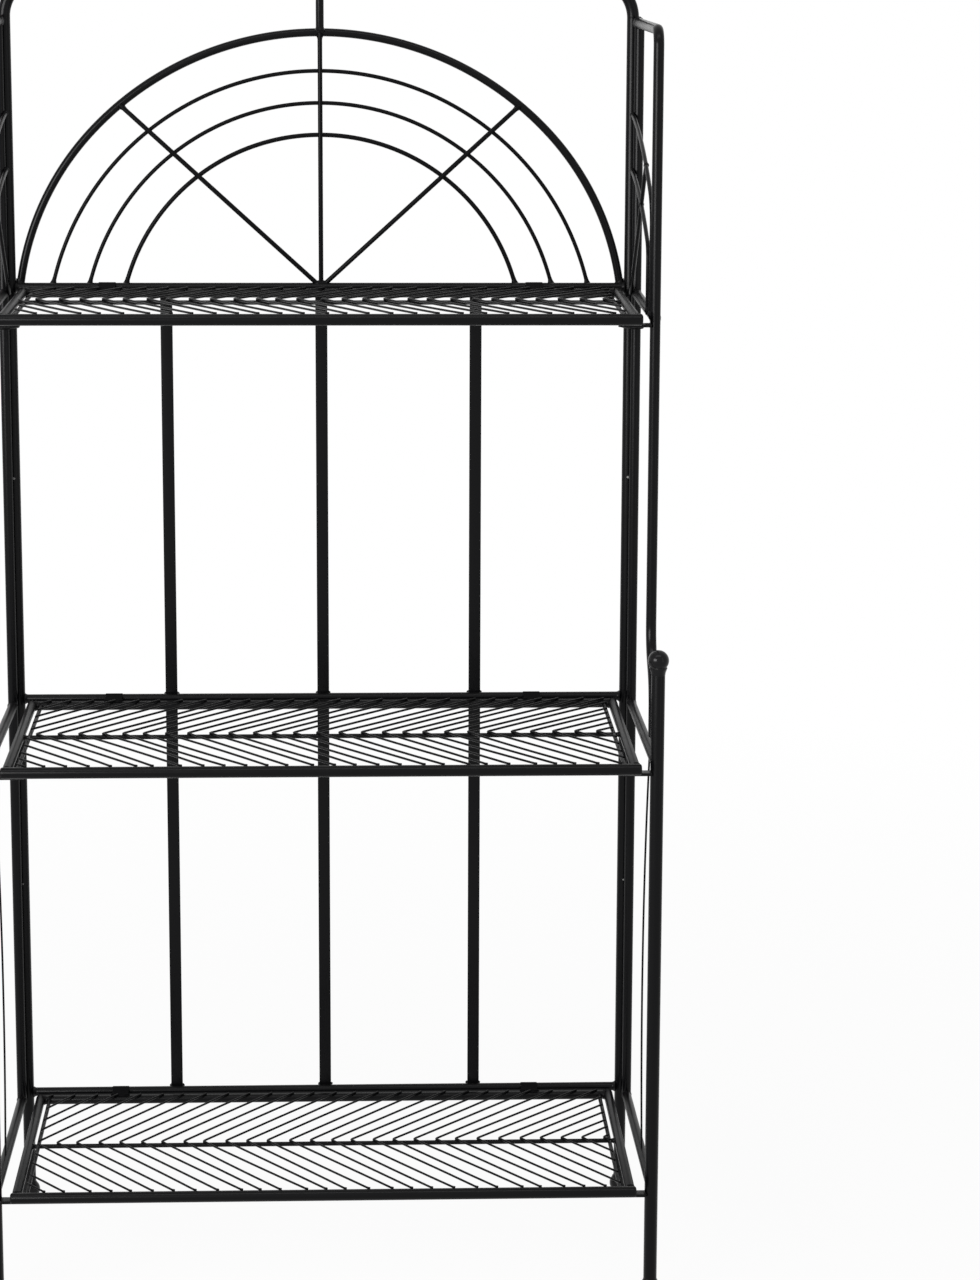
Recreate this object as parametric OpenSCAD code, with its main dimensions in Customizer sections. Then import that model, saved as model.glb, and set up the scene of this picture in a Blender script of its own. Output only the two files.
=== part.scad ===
// Folding plant stand of welded steel tube and wire
// A fixed back frame, two side frames that swing on hinge rings, and three shelves that lift
// Millimetres, X to the right, Y to the back, Z up, floor at zero

/* [Overall] */
// Distance between the axes of the back uprights
frame_w = 619.2; // [450:0.1:900]
// Height of the lowest back rail's axis
low_level = 116; // [70:1:250]
// Rise from one level to the next
level_pitch = 420; // [300:1:520]
// Straight upright above the top back rail, up to the shoulder
upright_rise = 266; // [262:1:400]
// Wall of the larger tubes
tube_wall = 1.2; // [1:0.1:2]
// How far a welded end runs into its neighbour
weld_lap = 0.8; // [0.3:0.1:1]
// Swell on the diameter where a bend meets the next length
seam_swell = 0.3; // [0.2:0.1:0.5]

/* [Back frame] */
// Upright and arch diameter
upright_d = 12; // [10:0.5:18]
// Back rail diameter
back_rail_d = 9; // [7:0.5:12]
// Width of the flat back bars
bar_w = 12; // [6:0.5:30]
// Thickness of the flat back bars
bar_t = 3; // [2:0.5:6]
// Distance from one back bar to the next
bar_pitch = 155; // [100:1:180]
// Diameter of the ball feet
foot_d = 20; // [16:0.5:30]
// Depth of the flat ground on each ball foot
foot_flat = 0.5; // [0.2:0.1:1.5]
// Depth of the tube inside a ball
ball_socket = 4; // [2:0.5:6]

/* [Arch] */
// Shoulder bend radius
shoulder_r = 38; // [25:1:80]
// Shoulder turn in degrees
shoulder_turn = 60; // [45:1:75]
// Centre post diameter
post_d = 7.9; // [5:0.1:12]

/* [Fan] */
// Height of the fan's outer hoop over the top back rail
hoop_top = 251.3; // [225:0.1:262]
// Outer hoop diameter
hoop_d = 8; // [5:0.5:10]
// Outer hoop radius at its crown
crown_r = 312; // [290:1:400]
// Gap between the outer hoop's feet and the uprights
hoop_gap = 0.6; // [0.3:0.1:3]
// Angle from the crown at which the radius changes
crown_angle = 47; // [40:1:52]
// Number of inner hoops
inner_hoops = 3; // [1:1:4]
// Inner hoop diameter
inner_hoop_d = 4; // [3:0.1:6]
// Drop from the outer hoop's top to the first inner hoop's
first_drop = 37.6; // [20:0.1:45]
// Drop from one inner hoop's top to the next
hoop_step = 31.4; // [20:0.1:40]
// Step from the outer hoop's foot in to the first inner hoop's
first_inset = 32.2; // [20:0.1:45]
// Step from one inner hoop's foot to the next
hoop_foot_step = 36.3; // [24:0.1:42]
// Spoke diameter
spoke_d = 4.7; // [3:0.1:6]
// Angle on the crown where the slanted spokes meet it
spoke_angle = 39.4; // [25:0.1:45]

/* [Side frames] */
// Side frame tube diameter
side_tube_d = 10; // [8:0.5:14]
// Gap between an upright and the tube that swings beside it
hinge_gap = 0.5; // [0.4:0.1:1]
// Direction from the upright to the swinging tube, outward from straight ahead
hinge_angle = 29.7; // [20:0.1:40]
// Height of the side frame's top rail over the top back rail
top_rail_rise = 262; // [240:1:262]
// Bend radius at the top front corner
corner_r = 15; // [12:1:60]
// How far inward the upper front tube stands from the hinge line
front_tube_in = 1.4; // [0:0.1:2]
// How far outward the leg stands from the hinge line
leg_out = 1.6; // [0:0.1:3]
// Distance from a shelf's front rail back to the tube or leg beside it
front_setback = 12; // [10:0.5:25]
// Start of the double bend below the top back rail
bend_drop = 296; // [280:1:300]
// Radius of the double bend
bend_r = 45; // [35:1:60]
// Lower end of the front tube below the top back rail
tail_drop = 398; // [385:1:405]
// Leg diameter
leg_d = 13; // [11:0.5:18]
// Centre of the leg's ball knob below the top back rail
knob_drop = 322; // [300:1:340]
// Side rail diameter
side_rail_d = 9.5; // [7:0.5:10]
// Side rail's axis below its back rail
side_rail_drop = 5; // [4:0.5:7]
// Width of the shelf rests
rest_w = 13; // [6:0.5:14]
// Thickness of the shelf rests
rest_t = 3; // [2:0.1:5]
// Reach of the shelf rests inward from the hinge line
rest_reach = 36; // [30:1:80]
// Clearance between a shelf and its rests
rest_gap = 0.35; // [0.3:0.05:1]

/* [Side wires] */
// Diameter of the side frame wires
side_wire_d = 4; // [3:0.1:6]
// How deep the side wires are sunk into the tubes
side_wire_sink = 1.2; // [0.5:0.1:2]
// Height of the outer wire on the rear tube, over the top back rail
outer_rise = 172; // [150:1:190]
// Height of the inner wire on the rear tube, over the top back rail
inner_rise = 117; // [90:1:130]
// Slope at the rear of both curved wires, in degrees
rear_slope = 6; // [2:0.5:10]
// Slope where both curved wires turn down, in degrees
front_slope = 26; // [20:0.5:35]
// Bend radius of the outer wire
outer_bend = 35; // [20:1:50]
// Bend radius of the inner wire
inner_bend = 19; // [12:1:30]
// Distance from the front tube back to the inner wire's straight part
inner_back = 35; // [20:1:60]
// Slope of the outer wire where the spoke meets it, in degrees
spoke_slope = 21; // [12:0.5:25]
// Lower tie wire diameter
tie_d = 2; // [1.6:0.1:4]
// Distance from the leg back to the tie's upper end
tie_top_back = 70; // [50:1:100]
// Distance from the leg back to the tie's lower end
tie_low_back = 100; // [60:1:140]
// Bow of the tie
tie_bow = 32; // [15:1:50]

/* [Hinge rings] */
// Thickness of the hinge rings
ring_d = 3.2; // [2:0.1:5]
// How far a ring narrows between its two tubes
ring_waist = 0.8; // [0.4:0.1:1.5]
// Radial clearance of a ring around the swinging tube
ring_clear = 0.08; // [0.06:0.01:0.1]
// Overlap of thin wires with what they are welded to
wire_sink = 0.2; // [0.1:0.1:0.5]
// Upper hinge ring below the top back rail
ring_high = 39; // [25:1:120]
// Lower hinge ring below the top back rail
ring_low = 499; // [450:1:800]

/* [Shelves] */
// Reach of the top shelf's front rail from the back plane
top_depth = 254; // [200:1:280]
// Reach of the two lower shelves' front rails from the back plane
low_depth = 304; // [294:1:305]
// Shelf front rail diameter
front_rail_d = 11; // [8:0.5:12]
// Rounding at the front rail's ends
end_round = 2.5; // [1:0.1:3.5]
// Shelf rear rail diameter
rear_rail_d = 9; // [7:0.5:10]
// Shelf side rail diameter
shelf_side_d = 9.5; // [7:0.5:10]
// Gap between a front rail's end and the upright
shelf_gap = 2.1; // [1.5:0.1:6]
// Distance from the front rail's end in to the shelf side rail
end_inset = 5.5; // [5:0.1:12]
// Rear rail's reach from the back plane
rear_reach = 14.4; // [13:0.1:16]
// Shelf plane below its back rail
shelf_drop = 4.4; // [4:0.1:6]
// Border wire diameter
border_d = 4; // [3:0.1:6]
// Gap between a border wire and the shelf side rail
border_gap = 2.8; // [1:0.1:8]
// Centre rod diameter
centre_d = 4.5; // [3:0.1:6]
// Reach of the top shelf's centre rod from the back plane
top_centre = 103; // [90:1:140]
// Reach of the lower shelves' centre rods from the back plane
low_centre = 157; // [140:1:175]

/* [Shelf wires] */
// Diameter of the bent shelf wires
wire_d = 1.9; // [1.5:0.1:2]
// Diameter of the bent hook over the centre rod
hook_d = 2.8; // [2.6:0.1:4]
// Distance from one shelf wire to the next on the centre rod
wire_pitch = 21.1; // [15:0.1:30]
// Distance from one shelf wire's tip to the next on the rear rail
rear_pitch = 22.6; // [15:0.1:32]
// Distance from one shelf wire's tip to the next on the front rail
front_pitch = 20.8; // [15:0.1:30]
// Place across of the top shelf's middle wire on its centre rod
top_first = 0; // [-10:0.1:10]
// Place across of the middle shelf's middle wire on its centre rod
middle_first = -5; // [-10:0.1:10]
// Place across of the bottom shelf's middle wire on its centre rod
bottom_first = 6.5; // [-10:0.1:10]
// Sideways run of the top shelf's middle wire behind the centre rod
top_rear_run = 74; // [30:1:120]
// Sideways run of the middle shelf's middle wire behind the centre rod
middle_rear_run = 134; // [40:1:150]
// Sideways run of the bottom shelf's middle wire behind the centre rod
bottom_rear_run = 118; // [40:1:150]
// Sideways run of the top shelf's middle wire ahead of the centre rod
top_front_run = 67; // [30:1:120]
// Sideways run of the lower shelves' middle wires ahead of the centre rod
low_front_run = 98; // [40:1:150]

/* [Shelf straps] */
// Width of the hinge straps
strap_w = 17; // [10:0.5:20]
// Place of each hinge strap, in steps of the inner hoops' feet inward from the first of them
strap_step = 1.5; // [0.5:1:2.5]
// Strap thickness
strap_t = 1.2; // [0.8:0.1:1.6]
// Radial clearance of a strap around its back rail
strap_clear = 0.07; // [0.02:0.01:0.1]

/* [Hidden] */
$fn = 48;
paint = [0.11, 0.11, 0.12];
square_turn = 90;

mid_level = low_level + level_pitch;
top_level = mid_level + level_pitch;
back_y = (low_depth + front_rail_d / 2 - foot_d / 2) / 2;
upright_x = frame_w / 2;
inner_x = upright_x - upright_d / 2;
foot_z = foot_d / 2 - foot_flat;
socket_z = foot_z + foot_d / 2 - ball_socket;
upright_top = top_level + upright_rise;

arch_slope = square_turn - shoulder_turn;
arch_r = (upright_x - shoulder_r * (1 - cos(shoulder_turn))) / sin(arch_slope);
arch_z = upright_top + shoulder_r * sin(shoulder_turn) - arch_r * cos(arch_slope);

hoop_back = (spoke_d + inner_hoop_d) / 2 - wire_sink;
hoop_reach = (upright_d + hoop_d) / 2 + hoop_gap;
hoop_foot = upright_x - sqrt(hoop_reach * hoop_reach - hoop_back * hoop_back);
crown_z = top_level + hoop_top - crown_r;
foot_off = [hoop_foot, crown_r - hoop_top];
foot_rise = foot_off * [sin(crown_angle), cos(crown_angle)];
haunch_r = (foot_off * foot_off - 2 * crown_r * foot_rise + crown_r * crown_r) / (2 * (crown_r - foot_rise));
haunch_off = crown_r - haunch_r;
haunch_x = haunch_off * sin(crown_angle);
haunch_z = crown_z + haunch_off * cos(crown_angle);
haunch_low = asin((top_level - haunch_z) / haunch_r);

hinge_off = (upright_d + side_tube_d) / 2 + hinge_gap;
hinge_x = upright_x + hinge_off * sin(hinge_angle);
hinge_f = hinge_off * cos(hinge_angle);
front_x = hinge_x - front_tube_in;
leg_x = hinge_x + leg_out;
front_f = top_depth - front_setback;
leg_f = low_depth - front_setback;
top_rail_z = top_level + top_rail_rise;
knob_z = top_level - knob_drop;
tail_touch = (leg_d + side_tube_d) / 2 - weld_lap;
tail_off = front_tube_in + leg_out;
tail_f = leg_f - sqrt(tail_touch * tail_touch - tail_off * tail_off);
bend_angle = acos(1 - (tail_f - front_f) / (2 * bend_r));
bend_z = top_level - bend_drop;
bend_low_z = bend_z - 2 * bend_r * sin(bend_angle);
tail_z = top_level - tail_drop;
rest_top = shelf_drop + shelf_side_d / 2 + rest_gap;
side_wire_x = hinge_x - (side_tube_d + side_wire_d) / 2 + side_wire_sink;

shelf_half = inner_x - shelf_gap;
shelf_side_x = shelf_half - end_inset;
border_x = shelf_side_x - (shelf_side_d + border_d) / 2 - border_gap;
inner_foot = hoop_foot - first_inset;
strap_x = inner_foot - strap_step * hoop_foot_step;
strap_r = back_rail_d / 2 + strap_clear;
strap_tilt = atan2(shelf_drop, rear_reach);
strap_reach = norm([rear_reach, shelf_drop]);

// A point from its place across, its reach from the back plane and its height
function at(x, f, z) = [x, back_y - f, z];

// The point a given way along the line from one point to another
function along(p, q, t) = p + t * (q - p) / norm(q - p);

// Puts a child that stands on the origin onto the line between two points
module between(p, q) {
    v = q - p;
    translate(p)
        rotate([0, acos(v[2] / norm(v)), atan2(v[1], v[0])])
            children();
}

// Solid round rod between two points
module rod(p, q, d) {
    between(p, q) cylinder(h = norm(q - p), d = d);
}

// Tube between two points
module pipe(p, q, d) {
    between(p, q)
        rotate_extrude()
            translate([d / 2 - tube_wall, 0])
                square([tube_wall, norm(q - p)]);
}

// Section of a tube, for the bends
module tube_ring(d) {
    difference() {
        circle(d = d);
        circle(d = d - 2 * tube_wall);
    }
}

// Bend about an upright axis lying in the back plane, its section given as a child
module front_bend(x, f, z, r, from, to) {
    translate(at(x, f, z))
        rotate([square_turn, 0, 0])
            rotate([0, 0, from])
                rotate_extrude(angle = to - from)
                    translate([r, 0])
                        children();
}

// Bend in a plane across the side frame, its section given as a child
module side_bend(x, f, z, r, from, to) {
    translate(at(x, f, z))
        rotate([square_turn, 0, -square_turn])
            rotate([0, 0, from])
                rotate_extrude(angle = to - from)
                    translate([r, 0])
                        children();
}

// Slight swell where two lengths of a bent tube or wire meet
module seam(x, f, z, d) {
    translate(at(x, f, z)) sphere(d = d + seam_swell);
}

// Ball foot with a small flat on the floor
module ball_foot(x, f) {
    difference() {
        translate(at(x, f, foot_z)) sphere(d = foot_d);
        translate(at(x, f, -foot_d / 2)) cube(foot_d, center = true);
    }
}

module back_upright(s) {
    color(paint) pipe(at(s * upright_x, 0, socket_z), at(s * upright_x, 0, upright_top), upright_d);
}

module back_upright_left() {
    back_upright(-1);
}

module back_upright_right() {
    back_upright(1);
}

module top_arch() {
    shoulder_x = upright_x - shoulder_r;
    color(paint) {
        front_bend(shoulder_x, 0, upright_top, shoulder_r, 0, shoulder_turn)
            tube_ring(upright_d);
        front_bend(0, 0, arch_z, arch_r, shoulder_turn, 2 * square_turn - shoulder_turn)
            tube_ring(upright_d);
        front_bend(-shoulder_x, 0, upright_top, shoulder_r, 2 * square_turn - shoulder_turn, 2 * square_turn)
            tube_ring(upright_d);
        for (s = [-1, 1])
            seam(s * (shoulder_x + shoulder_r * cos(shoulder_turn)), 0,
                 upright_top + shoulder_r * sin(shoulder_turn), upright_d);
    }
}

// Horizontal rail welded between the uprights
module back_rail(z) {
    half = inner_x + weld_lap;
    color(paint) rod(at(-half, 0, z), at(half, 0, z), back_rail_d);
}

module back_rail_top() {
    back_rail(top_level);
}

module back_rail_middle() {
    back_rail(mid_level);
}

module back_rail_bottom() {
    back_rail(low_level);
}

// Flat bar welded to the rear of all three back rails
module back_bar(x) {
    rear_f = -back_rail_d / 2 + wire_sink - bar_t;
    color(paint)
        translate(at(x - bar_w / 2, rear_f + bar_t, low_level))
            cube([bar_w, bar_t, top_level - low_level]);
}

module back_bar_left() {
    back_bar(-bar_pitch);
}

module back_bar_centre() {
    back_bar(0);
}

module back_bar_right() {
    back_bar(bar_pitch);
}

module fan_outer_hoop() {
    crown_turn = square_turn - crown_angle;
    color(paint) {
        front_bend(haunch_x, -hoop_back, haunch_z, haunch_r, haunch_low, crown_turn)
            circle(d = hoop_d);
        front_bend(0, -hoop_back, crown_z, crown_r, crown_turn, 2 * square_turn - crown_turn)
            circle(d = hoop_d);
        front_bend(-haunch_x, -hoop_back, haunch_z, haunch_r,
                   2 * square_turn - crown_turn, 2 * square_turn - haunch_low)
            circle(d = hoop_d);
        for (s = [-1, 1])
            seam(s * crown_r * sin(crown_angle), -hoop_back, crown_z + crown_r * cos(crown_angle), hoop_d);
    }
}

module fan_inner_hoops() {
    color(paint)
        for (k = [1:inner_hoops]) {
            top = hoop_top - first_drop - (k - 1) * hoop_step;
            half = inner_foot - (k - 1) * hoop_foot_step;
            low = (top * top - half * half) / (2 * top);
            r = top - low;
            turn = asin(-low / r);
            front_bend(0, -hoop_back, top_level + low, r, turn, 2 * square_turn - turn)
                circle(d = inner_hoop_d);
        }
}

module fan_spokes() {
    hub = at(0, 0, top_level);
    color(paint)
        for (s = [-1:1]) {
            turn = s * spoke_angle;
            rod(hub, at(crown_r * sin(turn), 0, crown_z + crown_r * cos(turn)), spoke_d);
        }
}

module centre_post() {
    color(paint) rod(at(0, 0, crown_z + crown_r), at(0, 0, arch_z + arch_r), post_d);
}

module rear_feet() {
    color(paint)
        for (s = [-1, 1])
            ball_foot(s * upright_x, 0);
}

// Closed ring, welded round the upright and free round the swinging tube
module hinge_ring(s, z) {
    eye_r = side_tube_d / 2 + ring_clear;
    seat_r = (upright_d - wire_sink) / 2;
    outer_r = eye_r + ring_d;
    cut_h = 3 * ring_d;
    translate(at(s * upright_x, 0, z - ring_d / 2))
        rotate([0, 0, -square_turn + s * hinge_angle])
            difference() {
                union() {
                    cylinder(h = ring_d, r = outer_r);
                    translate([hinge_off, 0, 0])
                        cylinder(h = ring_d, r = outer_r);
                    translate([0, ring_waist - outer_r, 0])
                        cube([hinge_off, 2 * (outer_r - ring_waist), ring_d]);
                }
                translate([0, 0, -ring_d])
                    cylinder(h = cut_h, r = seat_r);
                translate([hinge_off, 0, -ring_d])
                    cylinder(h = cut_h, r = eye_r);
                translate([0, ring_waist - eye_r, -ring_d])
                    cube([hinge_off, 2 * (eye_r - ring_waist), cut_h]);
            }
}

module hinge_rings_left() {
    color(paint)
        for (drop = [ring_high, ring_low])
            hinge_ring(-1, top_level - drop);
}

module hinge_rings_right() {
    color(paint)
        for (drop = [ring_high, ring_low])
            hinge_ring(1, top_level - drop);
}

module rear_tube(s) {
    color(paint) {
        pipe(at(s * hinge_x, hinge_f, low_level - side_rail_drop - side_rail_d / 2),
             at(s * hinge_x, hinge_f, top_rail_z), side_tube_d);
        translate(at(s * hinge_x, hinge_f, top_rail_z)) sphere(d = side_tube_d);
    }
}

module left_rear_tube() {
    rear_tube(-1);
}

module right_rear_tube() {
    rear_tube(1);
}

// Top rail, corner, front tube and double bend, all one bent tube
module front_hoop(s) {
    x = s * front_x;
    start = hinge_f + side_tube_d / 2 - weld_lap;
    color(paint) {
        pipe(at(x, start, top_rail_z), at(x, front_f - corner_r, top_rail_z), side_tube_d);
        side_bend(x, front_f - corner_r, top_rail_z - corner_r, corner_r, 0, square_turn)
            tube_ring(side_tube_d);
        pipe(at(x, front_f, bend_z), at(x, front_f, top_rail_z - corner_r), side_tube_d);
        side_bend(x, front_f + bend_r, bend_z, bend_r, 2 * square_turn, 2 * square_turn + bend_angle)
            tube_ring(side_tube_d);
        side_bend(x, tail_f - bend_r, bend_low_z, bend_r, 0, bend_angle)
            tube_ring(side_tube_d);
        pipe(at(x, tail_f, tail_z), at(x, tail_f, bend_low_z), side_tube_d);
        seam(x, front_f - corner_r, top_rail_z, side_tube_d);
        seam(x, front_f, top_rail_z - corner_r, side_tube_d);
        seam(x, front_f, bend_z, side_tube_d);
        seam(x, (front_f + tail_f) / 2, (bend_z + bend_low_z) / 2, side_tube_d);
        seam(x, tail_f, bend_low_z, side_tube_d);
    }
}

module left_front_hoop() {
    front_hoop(-1);
}

module right_front_hoop() {
    front_hoop(1);
}

module leg(s) {
    color(paint)
        pipe(at(s * leg_x, leg_f, socket_z),
             at(s * leg_x, leg_f, knob_z - foot_d / 2 + ball_socket), leg_d);
}

module left_leg() {
    leg(-1);
}

module right_leg() {
    leg(1);
}

// Ball knob on top of the leg and the same ball as its foot
module leg_balls(s) {
    color(paint) {
        translate(at(s * leg_x, leg_f, knob_z)) sphere(d = foot_d);
        ball_foot(s * leg_x, leg_f);
    }
}

module left_leg_balls() {
    leg_balls(-1);
}

module right_leg_balls() {
    leg_balls(1);
}

// Rail from the rear tube to the tube or leg in front, one at each level
module side_rail(s, level, x, f, d) {
    z = level - side_rail_drop;
    rear = at(s * hinge_x, hinge_f, z);
    front = at(s * x, f, z);
    rod(along(rear, front, side_tube_d / 2 - weld_lap),
        along(front, rear, d / 2 - weld_lap), side_rail_d);
}

module side_rails(s) {
    color(paint) {
        side_rail(s, top_level, front_x, front_f, side_tube_d);
        side_rail(s, mid_level, leg_x, leg_f, leg_d);
        side_rail(s, low_level, leg_x, leg_f, leg_d);
    }
}

module left_side_rails() {
    side_rails(-1);
}

module right_side_rails() {
    side_rails(1);
}

// Flat strip with a round end, under the shelf's side rail
module shelf_rest(s, level, x, f, d) {
    outer = x - d / 2 + weld_lap;
    inner = hinge_x - rest_reach + rest_w / 2;
    low = level - rest_top - rest_t;
    translate(at(s * inner, f, low))
        cylinder(h = rest_t, d = rest_w);
    translate(at(s * (inner + outer) / 2, f, low + rest_t / 2))
        cube([outer - inner, rest_w, rest_t], center = true);
}

module shelf_rests(s) {
    color(paint) {
        shelf_rest(s, top_level, front_x, front_f, side_tube_d);
        shelf_rest(s, mid_level, leg_x, leg_f, leg_d);
        shelf_rest(s, low_level, leg_x, leg_f, leg_d);
    }
}

module left_shelf_rests() {
    shelf_rests(-1);
}

module right_shelf_rests() {
    shelf_rests(1);
}

// Radius of a curved side wire's long part
function wire_r(f, bend) =
    (f - hinge_f - bend * (1 - sin(front_slope))) / (sin(front_slope) - sin(rear_slope));

// Reach and height of the centre of that long part
function wire_centre(f, bend, rise) =
    [hinge_f - wire_r(f, bend) * sin(rear_slope), top_level + rise - wire_r(f, bend) * cos(rear_slope)];

// Wire from the rear tube, curving forward and then straight down to the side rail
module curved_wire(s, f, bend, rise) {
    r = wire_r(f, bend);
    c = wire_centre(f, bend, rise);
    bend_c = c + (r - bend) * [sin(front_slope), cos(front_slope)];
    turn = square_turn - front_slope;
    color(paint) {
        side_bend(s * side_wire_x, c[0], c[1], r, turn, square_turn - rear_slope)
            circle(d = side_wire_d);
        side_bend(s * side_wire_x, bend_c[0], bend_c[1], bend, 0, turn)
            circle(d = side_wire_d);
        rod(at(s * side_wire_x, f, top_level - side_rail_drop),
            at(s * side_wire_x, f, bend_c[1]), side_wire_d);
        seam(s * side_wire_x, c[0] + r * sin(front_slope), c[1] + r * cos(front_slope), side_wire_d);
        seam(s * side_wire_x, f, bend_c[1], side_wire_d);
    }
}

module left_outer_wire() {
    curved_wire(-1, front_f, outer_bend, outer_rise);
}

module right_outer_wire() {
    curved_wire(1, front_f, outer_bend, outer_rise);
}

module left_inner_wire() {
    curved_wire(-1, front_f - inner_back, inner_bend, inner_rise);
}

module right_inner_wire() {
    curved_wire(1, front_f - inner_back, inner_bend, inner_rise);
}

// Straight wire from the rear lower corner to the outer curved wire
module corner_spoke(s) {
    r = wire_r(front_f, outer_bend);
    c = wire_centre(front_f, outer_bend, outer_rise);
    start = hinge_f + side_tube_d / 2;
    color(paint)
        rod(at(s * side_wire_x, start, top_level - side_rail_drop),
            at(s * side_wire_x, c[0] + r * sin(spoke_slope), c[1] + r * cos(spoke_slope)), side_wire_d);
}

module left_corner_spoke() {
    corner_spoke(-1);
}

module right_corner_spoke() {
    corner_spoke(1);
}

// Thin bowed wire between the two lower side rails
module lower_tie(s) {
    high = [leg_f - tie_top_back, mid_level - side_rail_drop];
    low = [leg_f - tie_low_back, low_level - side_rail_drop];
    chord = norm(high - low);
    r = (chord * chord / 4 + tie_bow * tie_bow) / (2 * tie_bow);
    lean = atan2(high[0] - low[0], high[1] - low[1]);
    out = [cos(lean), -sin(lean)];
    c = (high + low) / 2 + (r - tie_bow) * out;
    half = asin(chord / 2 / r);
    x = (hinge_x + leg_x) / 2;
    color(paint)
        side_bend(s * x, c[0], c[1], r, 2 * square_turn - lean - half, 2 * square_turn - lean + half)
            circle(d = tie_d);
}

module left_lower_tie() {
    lower_tie(-1);
}

module right_lower_tie() {
    lower_tie(1);
}

// Front rail of a shelf, with rounded ends
module front_rail(level, depth) {
    r = front_rail_d / 2;
    color(paint)
        translate(at(0, depth, level - shelf_drop))
            rotate([0, square_turn, 0])
                rotate_extrude() {
                    translate([0, end_round - shelf_half])
                        square([r, 2 * (shelf_half - end_round)]);
                    translate([0, -shelf_half])
                        square([r - end_round, 2 * shelf_half]);
                    for (k = [-1, 1])
                        translate([r - end_round, k * (shelf_half - end_round)])
                            circle(r = end_round);
                }
}

module rear_rail(level) {
    z = level - shelf_drop;
    half = shelf_side_x - shelf_side_d / 2 + weld_lap;
    color(paint) rod(at(-half, rear_reach, z), at(half, rear_reach, z), rear_rail_d);
}

module shelf_sides(level, depth) {
    z = level - shelf_drop;
    rear = rear_reach - rear_rail_d / 2;
    front = depth - front_rail_d / 2 + weld_lap;
    color(paint)
        for (s = [-1, 1])
            rod(at(s * shelf_side_x, rear, z), at(s * shelf_side_x, front, z), shelf_side_d);
}

module border_wires(level, depth) {
    z = level - shelf_drop;
    rear = rear_reach + rear_rail_d / 2 - weld_lap;
    front = depth - front_rail_d / 2 + weld_lap;
    color(paint)
        for (s = [-1, 1])
            rod(at(s * border_x, rear, z), at(s * border_x, front, z), border_d);
}

module centre_rod(level, centre) {
    z = level - shelf_drop;
    half = shelf_side_x - shelf_side_d / 2 + weld_lap;
    color(paint) rod(at(-half, centre, z), at(half, centre, z), centre_d);
}

// The point on the line between two points that lies a given way across
function slide(p, q, x) = p + (x - p[0]) / (q[0] - p[0]) * (q - p);

// One half of a bent shelf wire, cut off at the border wires
module half_wire(apex, tip) {
    start = apex[0] < -border_x ? slide(apex, tip, -border_x) : apex;
    end = tip[0] > border_x ? slide(apex, tip, border_x) : tip;
    if (tip[0] > border_d - border_x && apex[0] < border_x - border_d)
        rod(start, end, wire_d);
}

// Wires bent over the centre rod, from the rear rail's top to the front rail's top
module shelf_wires(level, depth, centre, place, rear_run, front_run) {
    z = level - shelf_drop;
    wire_lap = wire_d / 2 - wire_sink / 2;
    reach = border_x + max(rear_run, front_run) + abs(place);
    first = -ceil(reach / min(wire_pitch, rear_pitch, front_pitch));
    last = ceil(border_x / wire_pitch);
    tip_back = front_rail_d / 4;
    tip_r = front_rail_d / 2 + wire_lap;
    tip_z = sqrt(tip_r * tip_r - tip_back * tip_back);
    color(paint)
        for (k = [first:last]) {
            apex = at(place + k * wire_pitch, centre, z + centre_d / 2 + wire_lap);
            rear_tip = at(place + rear_run + k * rear_pitch, rear_reach, z + rear_rail_d / 2 + wire_lap);
            front_tip = at(place + front_run + k * front_pitch, depth - tip_back, z + tip_z);
            half_wire(apex, rear_tip);
            half_wire(apex, front_tip);
            if (apex[0] > -border_x && apex[0] < border_x - border_d)
                translate(apex) sphere(d = hook_d);
        }
}

// Straps rolled round the back rail and laid onto the shelf's rear rail
module shelf_straps(level) {
    outer_r = strap_r + strap_t;
    color(paint)
        for (s = [-1, 1])
            translate(at(s * strap_x, 0, level))
                rotate([-square_turn, 0, -square_turn])
                    rotate([0, 0, strap_tilt])
                        translate([0, 0, -strap_w / 2]) {
                            difference() {
                                cylinder(h = strap_w, r = outer_r);
                                translate([0, 0, -strap_w])
                                    cylinder(h = 3 * strap_w, r = strap_r);
                            }
                            translate([0, -outer_r, 0])
                                cube([strap_reach, strap_t, strap_w]);
                            translate([strap_reach - rear_rail_d / 4, -outer_r, 0])
                                cube([rear_rail_d / 2, outer_r - rear_rail_d / 2 + wire_sink, strap_w]);
                        }
}

module top_shelf_front_rail() {
    front_rail(top_level, top_depth);
}

module top_shelf_rear_rail() {
    rear_rail(top_level);
}

module top_shelf_sides() {
    shelf_sides(top_level, top_depth);
}

module top_shelf_border_wires() {
    border_wires(top_level, top_depth);
}

module top_shelf_centre_rod() {
    centre_rod(top_level, top_centre);
}

module top_shelf_wires() {
    shelf_wires(top_level, top_depth, top_centre, top_first, top_rear_run, top_front_run);
}

module top_shelf_straps() {
    shelf_straps(top_level);
}

module middle_shelf_front_rail() {
    front_rail(mid_level, low_depth);
}

module middle_shelf_rear_rail() {
    rear_rail(mid_level);
}

module middle_shelf_sides() {
    shelf_sides(mid_level, low_depth);
}

module middle_shelf_border_wires() {
    border_wires(mid_level, low_depth);
}

module middle_shelf_centre_rod() {
    centre_rod(mid_level, low_centre);
}

module middle_shelf_wires() {
    shelf_wires(mid_level, low_depth, low_centre, middle_first, middle_rear_run, low_front_run);
}

module middle_shelf_straps() {
    shelf_straps(mid_level);
}

module bottom_shelf_front_rail() {
    front_rail(low_level, low_depth);
}

module bottom_shelf_rear_rail() {
    rear_rail(low_level);
}

module bottom_shelf_sides() {
    shelf_sides(low_level, low_depth);
}

module bottom_shelf_border_wires() {
    border_wires(low_level, low_depth);
}

module bottom_shelf_centre_rod() {
    centre_rod(low_level, low_centre);
}

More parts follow.
